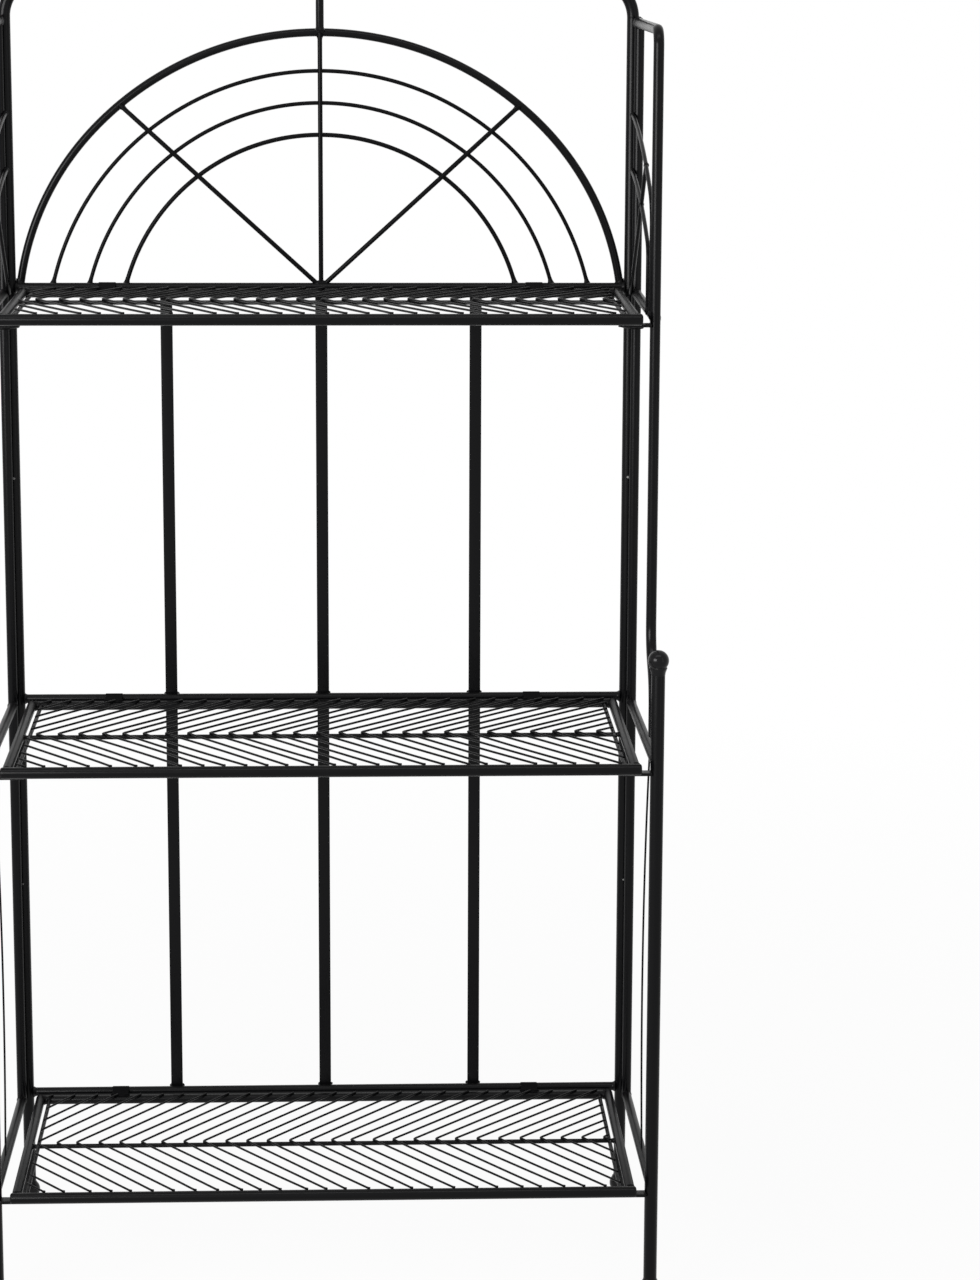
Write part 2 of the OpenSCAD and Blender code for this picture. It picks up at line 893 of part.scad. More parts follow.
module bottom_shelf_wires() {
    shelf_wires(low_level, low_depth, low_centre, bottom_first, bottom_rear_run, low_front_run);
}

module bottom_shelf_straps() {
    shelf_straps(low_level);
}

back_upright_left();
back_upright_right();
top_arch();
back_rail_top();
back_rail_middle();
back_rail_bottom();
back_bar_left();
back_bar_centre();
back_bar_right();
fan_outer_hoop();
fan_inner_hoops();
fan_spokes();
centre_post();
rear_feet();
hinge_rings_left();
hinge_rings_right();
left_rear_tube();
left_front_hoop();
left_leg();
left_leg_balls();
left_side_rails();
left_shelf_rests();
left_outer_wire();
left_inner_wire();
left_corner_spoke();
left_lower_tie();
right_rear_tube();
right_front_hoop();
right_leg();
right_leg_balls();
right_side_rails();
right_shelf_rests();
right_outer_wire();
right_inner_wire();
right_corner_spoke();
right_lower_tie();
top_shelf_front_rail();
top_shelf_rear_rail();
top_shelf_sides();
top_shelf_border_wires();
top_shelf_centre_rod();
top_shelf_wires();
top_shelf_straps();
middle_shelf_front_rail();
middle_shelf_rear_rail();
middle_shelf_sides();
middle_shelf_border_wires();
middle_shelf_centre_rod();
middle_shelf_wires();
middle_shelf_straps();
bottom_shelf_front_rail();
bottom_shelf_rear_rail();
bottom_shelf_sides();
bottom_shelf_border_wires();
bottom_shelf_centre_rod();
bottom_shelf_wires();
bottom_shelf_straps();
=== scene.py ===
"""Folding plant stand of black powder coated steel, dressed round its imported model.

Every piece is a bent tube, rod, wire or strip, so each one is a section carried along
a path. Sizes are in millimetres and turn into metres once, when a mesh is made.
"""

from __future__ import annotations

import logging
import math
import sys
from dataclasses import dataclass, field
from enum import Enum

import bpy
import numpy as np
from mathutils import Matrix, Vector
from numpy.typing import ArrayLike


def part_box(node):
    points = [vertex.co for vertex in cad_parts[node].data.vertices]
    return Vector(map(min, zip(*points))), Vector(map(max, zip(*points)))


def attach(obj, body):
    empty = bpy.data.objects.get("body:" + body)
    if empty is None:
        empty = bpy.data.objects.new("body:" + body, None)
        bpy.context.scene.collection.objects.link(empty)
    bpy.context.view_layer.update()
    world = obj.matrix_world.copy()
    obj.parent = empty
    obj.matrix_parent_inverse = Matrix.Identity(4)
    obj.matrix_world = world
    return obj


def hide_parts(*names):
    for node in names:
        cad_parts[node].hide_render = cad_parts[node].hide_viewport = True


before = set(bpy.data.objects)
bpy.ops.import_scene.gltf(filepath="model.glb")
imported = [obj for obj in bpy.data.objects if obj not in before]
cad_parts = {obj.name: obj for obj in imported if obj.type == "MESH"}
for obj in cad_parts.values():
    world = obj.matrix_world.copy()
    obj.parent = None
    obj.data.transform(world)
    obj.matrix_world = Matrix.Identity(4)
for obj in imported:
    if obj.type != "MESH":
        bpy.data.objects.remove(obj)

Array = np.ndarray
Pair = tuple[float, float]
Triple = tuple[float, float, float]
Socket = bpy.types.NodeSocket
LOG = logging.getLogger("plant_stand")

MM = 0.001
X_AXIS = np.array([1.0, 0.0, 0.0])
Y_AXIS = np.array([0.0, 1.0, 0.0])
Z_AXIS = np.array([0.0, 0.0, 1.0])
WHITE = (1.0, 1.0, 1.0, 1.0)

# Fineness: steps of a bend in degrees and millimetres, and points of the other rounds.
BEND_STEP = 4.0
BEND_CHORD = 6.0
ROUND_POINTS = 7
BOW_POINTS = 9
EDGE_POINTS = 5
SAME_PLACE = 1e-4
SHARP_ANGLE = 55.0
BALL_SIDES, BALL_RINGS, POLE_GAP = 40, 25, 0.05
DROP_SIDES, DROP_RINGS, DROP_LIFT = 16, 9, 1.5
COLLAR_SIDES, COLLAR_RINGS, COLLAR_LAP = 22, 9, 0.35

# Weld metal: height, count and phase of each wave round a fillet, its radius at the rod
# as a share of the rod's, and how deep a welded end goes into the other piece.
COLLAR_WAVES = ((0.22, 2, 0.0), (0.16, 3, 1.7), (0.10, 7, 4.1))
COLLAR_SEAT = 0.985
TUCK = 0.8

# A rod with more than this share of its run along X counts as running across.
ACROSS = 0.7
SPOKES = (-1, 0, 1)

# Powder coat: share of the peel in its height, size of a speck, and where dust lies.
PEEL_SHARE = 0.35
SPECK_SIZE = 0.14
DUST_SLOPE = 2.5
DUST_PATCH = (1.6, -0.3)


class Side(Enum):
    """The two mirrored sides of the stand, each with the sign of its place across."""

    LEFT = -1
    RIGHT = 1

    @property
    def word(self) -> str:
        """The side's name in lower case."""
        return self.name.lower()


class Tier(Enum):
    """The three levels, each with its word in the nodes' names."""

    TOP = "top"
    MIDDLE = "middle"
    BOTTOM = "bottom"


class Cut(Enum):
    """Faces round each kind of tube or wire, and the easing of its ends."""

    POST = (36, 0.02)
    BACK_RAIL = (28, 0.02)
    HOOP = (28, 0.3)
    FAN_WIRE = (20, 0.2)
    ROD = (20, 0.3)
    BENT_TUBE = (32, 0.8)
    LEG = (36, 0.4)
    LEVEL_RAIL = (28, 0.05)
    CURVE = (18, 0.3)
    TIE = (14, 0.2)
    FRONT_RAIL = (32, 2.5)
    EDGE = (24, 0.3)
    SHELF_WIRE = (10, 0.25)


class Fillet(Enum):
    """Weld metal round a rod's end: its swell, its length and where it starts.

    The start is a share of the other piece's radius.
    """

    BACK_RAIL = (1.6, 3.4, 1.0)
    HOOP = (2.0, 6.0, 0.55)
    FAN_WIRE = (1.8, 7.0, 0.6)
    SPOKE = (1.5, 5.0, 0.7)
    POST_LOW = (1.6, 4.0, 0.6)
    POST_HIGH = (1.8, 4.0, 0.8)
    REAR_FOOT = (1.2, 3.0, 0.75)
    BENT_TUBE = (1.1, 3.0, 0.85)
    KNOB = (2.0, 9.0, 0.72)
    LEG_FOOT = (0.9, 3.0, 0.72)
    LEVEL_REAR = (0.7, 2.6, 0.86)
    LEVEL_FRONT = (1.3, 3.2, 0.86)
    CURVE = (1.4, 4.0, 0.8)
    EDGE_FRONT = (1.3, 3.2, 0.0)
    BORDER_REAR = (1.2, 3.0, 0.0)
    SIDE_REAR = (1.2, 3.0, 0.8)
    CENTRE_ROD = (1.2, 3.4, 0.0)


class Drop(Enum):
    """Half sizes along X, Y and Z of each kind of weld drop."""

    BAR = (2.3, 1.8, 2.0)
    CROSSING = (2.9, 2.0, 2.9)
    HUB = (7.0, 3.4, 4.2)
    RING = (2.6, 2.6, 3.0)
    SEAM = (1.6, 2.2, 8.0)
    CURVE_START = (2.4, 3.2, 2.8)
    SPOKE_TIP = (2.5, 3.2, 3.2)
    SPOKE_MEET = (2.6, 3.6, 3.6)
    SHELF_WIRE = (1.3, 1.6, 1.0)
    STRAP = (3.0, 2.6, 1.3)
    STRAP_WEAR = (4.5, 0.6, 0.8)


@dataclass(frozen=True)
class Extent:
    """Lowest and highest corner of one CAD node, in millimetres."""

    low: Array
    high: Array

    @classmethod
    def of(cls, node: str) -> Extent:
        """Reads a node's corners from the imported model."""
        low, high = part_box(node)
        return cls(np.array(low) / MM, np.array(high) / MM)

    @property
    def middle(self) -> Array:
        """Centre of the box."""
        return (self.low + self.high) / 2

    @property
    def half(self) -> Array:
        """Half the size of the box."""
        return (self.high - self.low) / 2

    def line(self, axis: int) -> Array:
        """Both ends of the middle line along one axis."""
        ends = np.stack([self.middle, self.middle])
        ends[:, axis] = self.low[axis], self.high[axis]
        return ends


def unit(rows: Array) -> Array:
    """Scales one vector, or each row of many, to length one."""
    return rows / np.linalg.norm(rows, axis=-1, keepdims=True)


def slanted(lean: float) -> Array:
    """Unit vector of a plane, leaned by some degrees from its second to its first axis."""
    angle = math.radians(lean)
    return np.array([math.sin(angle), math.cos(angle)])


def arc(centre: Pair, radius: float, start: float, end: float) -> Array:
    """Points of a round bend in its own plane: centre + radius (cos a, sin a).

    Args:
        centre: Centre of the bend.
        radius: Radius of the tube's middle line.
        start: First angle in degrees.
        end: Last angle in degrees.

    Returns:
        Points as rows of two.
    """
    step = min(BEND_STEP, math.degrees(BEND_CHORD / radius))
    count = max(4, math.ceil(abs(end - start) / step)) + 1
    angle = np.radians(np.linspace(start, end, count))
    return np.array(centre) + radius * np.stack([np.cos(angle), np.sin(angle)], axis=1)


def joined(*runs: ArrayLike) -> Array:
    """Joins runs of points end to end and drops the points that repeat."""
    path = np.concatenate(runs)
    step = np.linalg.norm(np.diff(path, axis=0), axis=1)
    return path[np.concatenate([[True], step > SAME_PLACE])]


def arch_line(haunch: Pair, small: float, crown: float, large: float, start: float,
              turn: float) -> Array:
    """A symmetrical arch of three arcs, from its right end over the crown to its left.

    Args:
        haunch: Centre of the right haunch.
        small: Radius of the haunches.
        crown: Height of the crown's centre.
        large: Radius of the crown.
        start: Angle of the right end in degrees.
        turn: Angle where haunch and crown meet.

    Returns:
        Rows of place across and height.
    """
    x, z = haunch
    return joined(arc((x, z), small, start, turn), arc((0, crown), large, turn, 180 - turn),
                  arc((-x, z), small, 180 - turn, 180 - start))


def rounded(before: Array, corner: Array, after: Array, reach: float) -> Array:
    """Rounds a corner with a parabola that leaves and meets its two legs.

    Args:
        before: A point on the leg that comes in.
        corner: The corner.
        after: A point on the leg that goes out.
        reach: Distance from the corner to where the rounding starts and ends.

    Returns:
        Points of the rounded corner.
    """
    share = np.linspace(0.0, 1.0, ROUND_POINTS)[:, None]
    start = corner + reach * unit(before - corner)
    end = corner + reach * unit(after - corner)
    return start * (1 - share) ** 2 + 2 * corner * share * (1 - share) + end * share**2


def cropped(path: Array, edge: float) -> list[Array]:
    """Cuts a path where its place across passes the edge on either side.

    Args:
        path: Rows of three.
        edge: Largest place across, on both sides.

    Returns:
        The parts between the edges, each with its cut ends.
    """
    inside = np.flatnonzero(np.abs(path[:, 0]) < edge)
    parts = []
    for run in np.split(inside, np.flatnonzero(np.diff(inside) > 1) + 1) if inside.size else []:
        part = [path[run]]
        for outer, inner, place in ((run[0] - 1, run[0], 0), (run[-1] + 1, run[-1], 2)):
            if 0 <= outer < len(path):
                far, near = path[outer], path[inner]
                share = (math.copysign(edge, far[0]) - near[0]) / (far[0] - near[0])
                part.insert(place, (near + share * (far - near))[None])
        parts.append(joined(*part))
    return parts


def round_section(radius: float, sides: int) -> Array:
    """A circle with a number of points, as rows of two, anticlockwise."""
    angle = np.linspace(0.0, 2 * math.pi, sides, endpoint=False)
    return radius * np.stack([np.cos(angle), np.sin(angle)], axis=1)


def strip_section(thickness: float, width: float, corner: float) -> Array:
    """A flat strip's section, a rectangle with quarter circles at its corners.

    Args:
        thickness: Size along the section's first axis.
        width: Size along the section's second axis.
        corner: Radius of the corners.

    Returns:
        Points of the outline, anticlockwise.
    """
    quarter = np.radians(np.linspace(0.0, 90.0, EDGE_POINTS))
    turn = np.concatenate([quarter + k * math.pi / 2 for k in range(4)])
    first = np.repeat([1, -1, -1, 1], quarter.size) * (thickness / 2 - corner)
    second = np.repeat([1, 1, -1, -1], quarter.size) * (width / 2 - corner)
    return np.stack([first + corner * np.cos(turn), second + corner * np.sin(turn)], axis=1)


def carried(section: Array, path: Array, side: Array, scale: Array | float = 1.0,
            closed: bool = False) -> Array:
    """Carries a section along a path.

    At each station the run is the path's direction, the section's first axis is
    side x run and its second is run x first; a point is path + scale (u first + v second).

    Args:
        section: Outline as rows of two.
        path: Middle line as rows of three.
        side: Direction square to the path's bends.
        scale: Scale of the section, one number or one for each station.
        closed: True where the path's end meets its start.

    Returns:
        Points as stations by outline by three.
    """
    if closed:
        run = unit(np.roll(path, -1, axis=0) - np.roll(path, 1, axis=0))
    else:
        run = unit(np.gradient(path, axis=0))
    first = unit(np.cross(side, run))
    second = np.cross(run, first)
    across = section[None, :, :1] * first[:, None] + section[None, :, 1:] * second[:, None]
    return path[:, None] + np.broadcast_to(scale, len(path))[:, None, None] * across


def linked(name: str, data: bpy.types.ID) -> bpy.types.Object:
    """Makes an object of a mesh, lamp or camera and links it into the scene."""
    obj = bpy.data.objects.new(name, data)
    bpy.context.scene.collection.objects.link(obj)
    return obj


class Skin:
    """Closed surfaces gathered into the mesh of one piece."""

    def __init__(self) -> None:
        """Starts with no surface."""
        self.points: list[Array] = []
        self.faces: list[list[int]] = []
        self.welds: list[Array] = []
        self.total = 0

    def add(self, rings: Array, weld: float = 0.0, closed: bool = False) -> None:
        """Adds rings of points as one closed surface, with a pole at each open end.

        Args:
            rings: Points as stations by outline by three, anticlockwise about the run.
            weld: Mark of the surface, nought for bar and one or more for weld metal.
            closed: True where the last ring meets the first.
        """
        stations, sides = rings.shape[:2]
        index = self.total + np.arange(stations * sides).reshape(stations, sides)
        after = np.roll(index, -1, axis=0)
        if not closed:
            index, after = index[:-1], after[:-1]
        quads = np.stack([index, np.roll(index, -1, 1), np.roll(after, -1, 1), after], axis=-1)
        self.faces += quads.reshape(-1, 4).tolist()
        points = rings.reshape(-1, 3)
        if not closed:
            tail = self.total + stations * sides
            first, last = index[0], after[-1]
            points = np.concatenate([points, rings[[0, -1]].mean(axis=1)])
            start_fan = np.stack([np.full(sides, tail), np.roll(first, -1), first], axis=1)
            end_fan = np.stack([np.full(sides, tail + 1), last, np.roll(last, -1)], axis=1)
            self.faces += start_fan.tolist() + end_fan.tolist()
        self.points.append(points)
        self.welds.append(np.full(len(points), weld))
        self.total += len(points)

    def bar(self, path: Array, side: Array, section: Array, easing: float) -> None:
        """Adds a bar whose ends are eased over by a quarter circle.

        Args:
            path: Middle line.
            side: Direction square to its bends.
            section: Outline of the bar.
            easing: Radius at the rim of each end.
        """
        reach = np.abs(section).max()
        turn = np.radians(np.linspace(90.0, 0.0, EDGE_POINTS))
        back = easing * (1 - np.sin(turn))
        rim = 1 - easing / reach * (1 - np.cos(turn))
        start = path[0] + back[:, None] * unit(path[1] - path[0])
        end = (path[-1] + back[:, None] * unit(path[-2] - path[-1]))[::-1]
        sizes = np.concatenate([rim, np.ones(len(path) - 2), rim[::-1]])
        self.add(carried(section, np.concatenate([start, path[1:-1], end]), side, sizes))

    def tube(self, path: Array, side: Array, radius: float, cut: Cut) -> None:
        """Adds a round tube, rod or wire.

        Args:
            path: Middle line.
            side: Direction square to its bends.
            radius: Outer radius.
            cut: Faces round it and the easing of its ends.
        """
        sides, easing = cut.value
        self.bar(path, side, round_section(radius, sides), easing)

    def ball(self, centre: Array, radius: float, flat: float = 0.0) -> None:
        """Adds a ball, with a flat ground on its underside where asked for.

        A ring at latitude a has radius r cos a and height r sin a.

        Args:
            centre: Centre of the ball.
            radius: Radius of the ball.
            flat: Depth of the flat.
        """
        lowest = -math.pi / 2 + POLE_GAP if flat == 0 else -math.asin(1 - flat / radius)
        lift = np.linspace(lowest, math.pi / 2 - POLE_GAP, BALL_RINGS)
        path = centre + radius * np.sin(lift)[:, None] * Z_AXIS
        section = round_section(1.0, BALL_SIDES)
        self.add(carried(section, path, X_AXIS, radius * np.cos(lift)))

    def collar(self, centre: Array, run: Array, rod: float, fillet: Fillet,
               other: float = 0.0) -> None:
        """Adds the fillet of weld metal round a rod where it meets another piece.

        With s from nought at its foot to one, radius = rod + swell (1 - s)^2 (1 + lumps).

        Args:
            centre: Where the rod's line meets the middle of the other piece.
            run: Direction of the rod, away from the other piece.
            rod: Radius of the rod.
            fillet: Swell, length and start of the fillet.
            other: Radius of the other piece.
        """
        swell, length, start = fillet.value
        run = unit(np.array(run, float))
        foot = centre + start * other * run
        side = X_AXIS if abs(run[0]) < ACROSS else Y_AXIS
        share = np.linspace(-COLLAR_LAP, 1.0, COLLAR_RINGS)
        path = foot + share[:, None] * length * run
        turn = np.linspace(0.0, 2 * math.pi, COLLAR_SIDES, endpoint=False)
        lumps = sum(height * np.sin(count * turn + (foot.sum() + phase))
                    for height, count, phase in COLLAR_WAVES)
        rise = swell * np.clip(1 - np.abs(share), 0.0, 1.0) ** 2
        sizes = rod * COLLAR_SEAT + rise[:, None] * (1 + lumps[None, :])
        rings = carried(round_section(1.0, COLLAR_SIDES), path, side)
        self.add(path[:, None] + (rings - path[:, None]) * sizes[..., None], weld=1.0)

    def drop(self, centre: Array, reach: Triple, worn: float = 0.0) -> None:
        """Adds a drop of weld metal, an ellipsoid with lumps that follow its place.

        Args:
            centre: Centre of the drop.
            reach: Half sizes along X, Y and Z.
            worn: Share of the paint that is rubbed off it.
        """
        lift = np.linspace(-DROP_LIFT, DROP_LIFT, DROP_RINGS)
        turn = np.linspace(0.0, 2 * math.pi, DROP_SIDES, endpoint=False)
        phase = float(np.sum(centre))
        wave = 1 + 0.13 * np.sin(3 * turn[None, :] + phase) * np.cos(lift[:, None])
        wave = wave + 0.08 * np.sin(5 * turn[None, :] + 2 * lift[:, None] + 2 * phase)
        flat = np.cos(lift)[:, None] * wave
        rings = np.stack([flat * np.cos(turn), flat * np.sin(turn),
                          np.repeat(np.sin(lift)[:, None], turn.size, axis=1)], axis=-1)
        self.add(centre + rings * np.array(reach), weld=1.0 + worn)

    def piece(self, name: str, body: str, finish: Paint, *nodes: str) -> None:
        """Makes the object, gives it its finish and lets it ride on its body.

        The weld attribute marks weld metal; the sky attribute is the upward share of
        each point's normal, where dust settles.

        Args:
            name: Name of the piece.
            body: CAD body that carries it.
            finish: Paint of the piece.
            nodes: CAD nodes that it stands for.
        """
        mesh = bpy.data.meshes.new(name)
        mesh.from_pydata(np.concatenate(self.points) * MM, [], self.faces)
        mesh.update()
        mesh.shade_smooth()
        mesh.set_sharp_from_angle(angle=math.radians(SHARP_ANGLE))
        mark = mesh.attributes.new("weld", "FLOAT", "POINT")
        mark.data.foreach_set("value", np.concatenate(self.welds).astype(np.float32))
        normals = np.zeros(3 * self.total, np.float32)
        mesh.vertex_normals.foreach_get("vector", normals)
        sky = mesh.attributes.new("sky", "FLOAT", "POINT")
        sky.data.foreach_set("value", np.clip(normals[2::3], 0.0, 1.0))
        obj = linked(name, mesh)
        mesh.materials.append(finish.material())
        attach(obj, body)
        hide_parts(*nodes)
        LOG.info("%s: %d points, rides on %s", name, self.total, body)


class Nodes:
    """Small helper that lays shader nodes and links into a tree."""

    def __init__(self, tree: bpy.types.NodeTree) -> None:
        """Keeps the tree that the nodes go into."""
        self.tree = tree

    def put(self, socket: Socket, value: object) -> None:
        """Links an output into a socket, or sets the socket's own value."""
        if isinstance(value, Socket):
            self.tree.links.new(value, socket)
        else:
            socket.default_value = value

    def add(self, kind: str, **values: object) -> bpy.types.Node:
        """Adds a node and sets its properties and sockets by name.

        Args:
            kind: Blender's name of the node type.
            values: Properties, or sockets with underscores for spaces, with their values.

        Returns:
            The new node.
        """
        node = self.tree.nodes.new(kind)
        for key, value in values.items():
            if hasattr(node, key):
                setattr(node, key, value)
            else:
                self.put(node.inputs[key.replace("_", " ")], value)
        return node

    def math(self, operation: str, *terms: object) -> Socket:
        """Adds a Math node over numbers or sockets and gives its output."""
        node = self.add("ShaderNodeMath", operation=operation)
        for socket, term in zip(node.inputs, terms):
            self.put(socket, term)
        return node.outputs[0]

    def tint(self, factor: object, first: object, second: object) -> Socket:
        """Mixes two colours, given as values or sockets, and gives the result."""
        node = self.add("ShaderNodeMix", data_type="RGBA")
        for name, value in (("Factor", factor), ("A", first), ("B", second)):
            self.put(node.inputs[name], value)
        return node.outputs["Result"]

    def surface(self, factor: Socket, first: Socket, second: Socket, target: str) -> None:
        """Mixes two shaders into the Surface of the tree's output node."""
        mix = self.tree.nodes.new("ShaderNodeMixShader")
        for socket, value in zip(mix.inputs, (factor, first, second)):
            self.put(socket, value)
        self.put(self.tree.nodes[target].inputs["Surface"], mix.outputs[0])


def new_group(name: str, inputs: dict[str, float], *outputs: str) -> bpy.types.NodeTree:
    """Makes a node group with named number sockets and its input and output nodes.

    Args:
        name: Name of the group.
        inputs: Names and default values of its inputs.
        outputs: Names of its outputs.

    Returns:
        The group.
    """
    group = bpy.data.node_groups.new(name, "ShaderNodeTree")
    for key, value in inputs.items():
        socket = group.interface.new_socket(key, in_out="INPUT", socket_type="NodeSocketFloat")
        socket.default_value = value
    for key in outputs:
        group.interface.new_socket(key, in_out="OUTPUT", socket_type="NodeSocketFloat")
    group.nodes.new("NodeGroupInput")
    group.nodes.new("NodeGroupOutput")
    return group


def powder_texture() -> bpy.types.NodeTree:
    """The skin of powder coat: orange peel, cloudy patches of sheen and specks.

    Returns:
        Group with Height, Cloud and Speck outputs, from three scales and Weld.
    """
    inputs = {"Peel Scale": 900.0, "Cloud Scale": 22.0, "Speck Scale": 420.0, "Weld": 0.0}
    group = new_group("powder_texture", inputs, "Height", "Cloud", "Speck")
    lay = Nodes(group)
    given, made = group.nodes["Group Input"].outputs, group.nodes["Group Output"].inputs
    place = lay.add("ShaderNodeTexCoord").outputs["Object"]
    peel = lay.add("ShaderNodeTexNoise", Vector=place, Scale=given["Peel Scale"],
                   Detail=2.0, Roughness=0.45)
    lumps = lay.add("ShaderNodeTexNoise", Vector=place, Scale=640.0, Detail=3.0, Roughness=0.7)
    cloud = lay.add("ShaderNodeTexNoise", Vector=place, Scale=given["Cloud Scale"],
                    Detail=4.0, Roughness=0.6)
    speck = lay.add("ShaderNodeTexVoronoi", Vector=place, Scale=given["Speck Scale"])
    weld_part = lay.math("MULTIPLY", lumps.outputs[0], given["Weld"])
    lay.put(made["Height"], lay.math("MULTIPLY_ADD", peel.outputs[0], PEEL_SHARE, weld_part))
    lay.put(made["Cloud"], cloud.outputs[0])
    lay.put(made["Speck"], lay.math("LESS_THAN", speck.outputs["Distance"], SPECK_SIZE))
    return group


def settled_dust() -> bpy.types.NodeTree:
    """A thin uneven film of dust on what faces the sky.

    Returns:
        Group with a Dust output, from Sky, Cloud and Amount.
    """
    group = new_group("settled_dust", {"Sky": 0.0, "Cloud": 0.5, "Amount": 0.1}, "Dust")
    lay = Nodes(group)
    given = group.nodes["Group Input"].outputs
    steep = lay.math("POWER", given["Sky"], DUST_SLOPE)
    patch = lay.math("MULTIPLY_ADD", given["Cloud"], *DUST_PATCH)
    film = lay.math("MULTIPLY", lay.math("MULTIPLY", steep, patch), given["Amount"])
    lay.put(group.nodes["Group Output"].inputs["Dust"], lay.math("MAXIMUM", film, 0.0))
    return group


@dataclass(frozen=True)
class Paint:
    """One finish of black powder coat."""

    name: str
    colour: Triple
    roughness: float
    specular: float
    peel_depth: float
    dust: float
    dust_colour: Triple = (0.060, 0.058, 0.055)
    worn_colour: Triple = (0.30, 0.30, 0.29)
    sheen_spread: float = 0.16
    speck_rough: float = 0.10
    weld_rough: float = 0.08
    dust_rough: float = 0.5

    def material(self) -> bpy.types.Material:
        """Builds the material once and hands out the same one afterwards."""
        kept = bpy.data.materials.get(self.name)
        if kept:
            return kept
        made = bpy.data.materials.new(self.name)
        made.use_nodes = True
        lay = Nodes(made.node_tree)
        groups = bpy.data.node_groups
        weld = lay.add("ShaderNodeAttribute", attribute_name="weld").outputs["Fac"]
        sky = lay.add("ShaderNodeAttribute", attribute_name="sky").outputs["Fac"]
        skin = lay.add("ShaderNodeGroup", node_tree=groups.get("powder_texture")
                       or powder_texture(), Weld=weld).outputs
        film = lay.add("ShaderNodeGroup", node_tree=groups.get("settled_dust") or settled_dust(),
                       Amount=self.dust, Sky=sky, Cloud=skin["Cloud"]).outputs["Dust"]
        dusty = lay.tint(film, (*self.colour, 1.0), (*self.dust_colour, 1.0))
        rubbed = lay.math("SUBTRACT", weld, 1.0)
        rough = self.roughness - self.sheen_spread / 2
        for part, share in ((skin["Cloud"], self.sheen_spread), (skin["Speck"], self.speck_rough),
                            (weld, self.weld_rough), (film, self.dust_rough)):
            rough = lay.math("MULTIPLY_ADD", part, share, rough)
        bump = lay.add("ShaderNodeBump", Strength=0.5, Distance=self.peel_depth,
                       Height=skin["Height"])
        shader = made.node_tree.nodes["Principled BSDF"].inputs
        lay.put(shader["Base Color"], lay.tint(rubbed, dusty, (*self.worn_colour, 1.0)))
        lay.put(shader["Roughness"], rough)
        shader["Specular IOR Level"].default_value = self.specular
        lay.put(shader["Normal"], bump.outputs["Normal"])
        return made


TUBE_PAINT = Paint("black_tube_paint", (0.0026, 0.0026, 0.0030), roughness=0.24,
                   specular=0.105, peel_depth=0.00006, dust=0.08)
WIRE_PAINT = Paint("black_wire_paint", (0.0028, 0.0028, 0.0032), roughness=0.30,
                   specular=0.06, peel_depth=0.00012, dust=0.07,
                   dust_colour=(0.055, 0.053, 0.050))
BALL_PAINT = Paint("black_ball_paint", (0.0030, 0.0030, 0.0034), roughness=0.18,
                   specular=0.16, peel_depth=0.00008, dust=0.08)
SIDE_PAINT = Paint("black_side_paint", (0.0030, 0.0030, 0.0034), roughness=0.34,
                   specular=0.065, peel_depth=0.00008, dust=0.08)
STRAP_PAINT = Paint("black_strap_paint", (0.0026, 0.0026, 0.0030), roughness=0.70,
                    specular=0.02, peel_depth=0.00012, dust=0.05,
                    dust_colour=(0.055, 0.053, 0.050))


@dataclass
class Stand:
    """The places that the sub-assemblies share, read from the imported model."""

    back: float = field(init=False)
    levels: dict[Tier, float] = field(init=False)
    upright: Extent = field(init=False)

    def __post_init__(self) -> None:
        """Reads the back plane, the levels and an upright."""
        rails = {tier: Extent.of(f"back_rail_{tier.value}") for tier in Tier}
        self.back = rails[Tier.TOP].middle[1]
        self.levels = {tier: rail.middle[2] for tier, rail in rails.items()}
        self.upright = Extent.of("back_upright_right")


@dataclass
class Assembly:
    """One body of the stand, whose nodes and pieces share a prefix."""

    stand: Stand
    body: str = field(init=False, default="back_frame")
    node_prefix: str = field(init=False, default="")
    piece_prefix: str = field(init=False, default="")

    def extent(self, part: str) -> Extent:
        """Extent of one of its nodes."""
        return Extent.of(self.node_prefix + part)

    def finish(self, skin: Skin, name: str, paint: Paint, part: str) -> None:
        """Makes one of its pieces from the gathered surfaces."""
        skin.piece(self.piece_prefix + name, self.body, paint, self.node_prefix + part)

    def front_view(self, flat: ArrayLike, reach: float = 0.0) -> Array:
        """Places points of an across and up plane at a reach from the back plane.

        Args:
            flat: Place across and height, of one point or in rows.
            reach: Reach in front of the back plane.

        Returns:
            One point or rows of three.
        """
        flat = np.asarray(flat, float)
        depth = self.stand.back - reach
        return np.stack(np.broadcast_arrays(flat[..., 0], depth, flat[..., 1]), -1)

    def side_view(self, flat: ArrayLike, across: ArrayLike) -> Array:
        """Places points of a reach and up plane at a place across.

        Args:
            flat: Reach from the back plane and height, of one point or in rows.
            across: Place across, the same for all or one for each.

        Returns:
            One point or rows of three.
        """
        flat = np.asarray(flat, float)
        depth = self.stand.back - flat[..., 0]
        return np.stack(np.broadcast_arrays(across, depth, flat[..., 1]), -1)


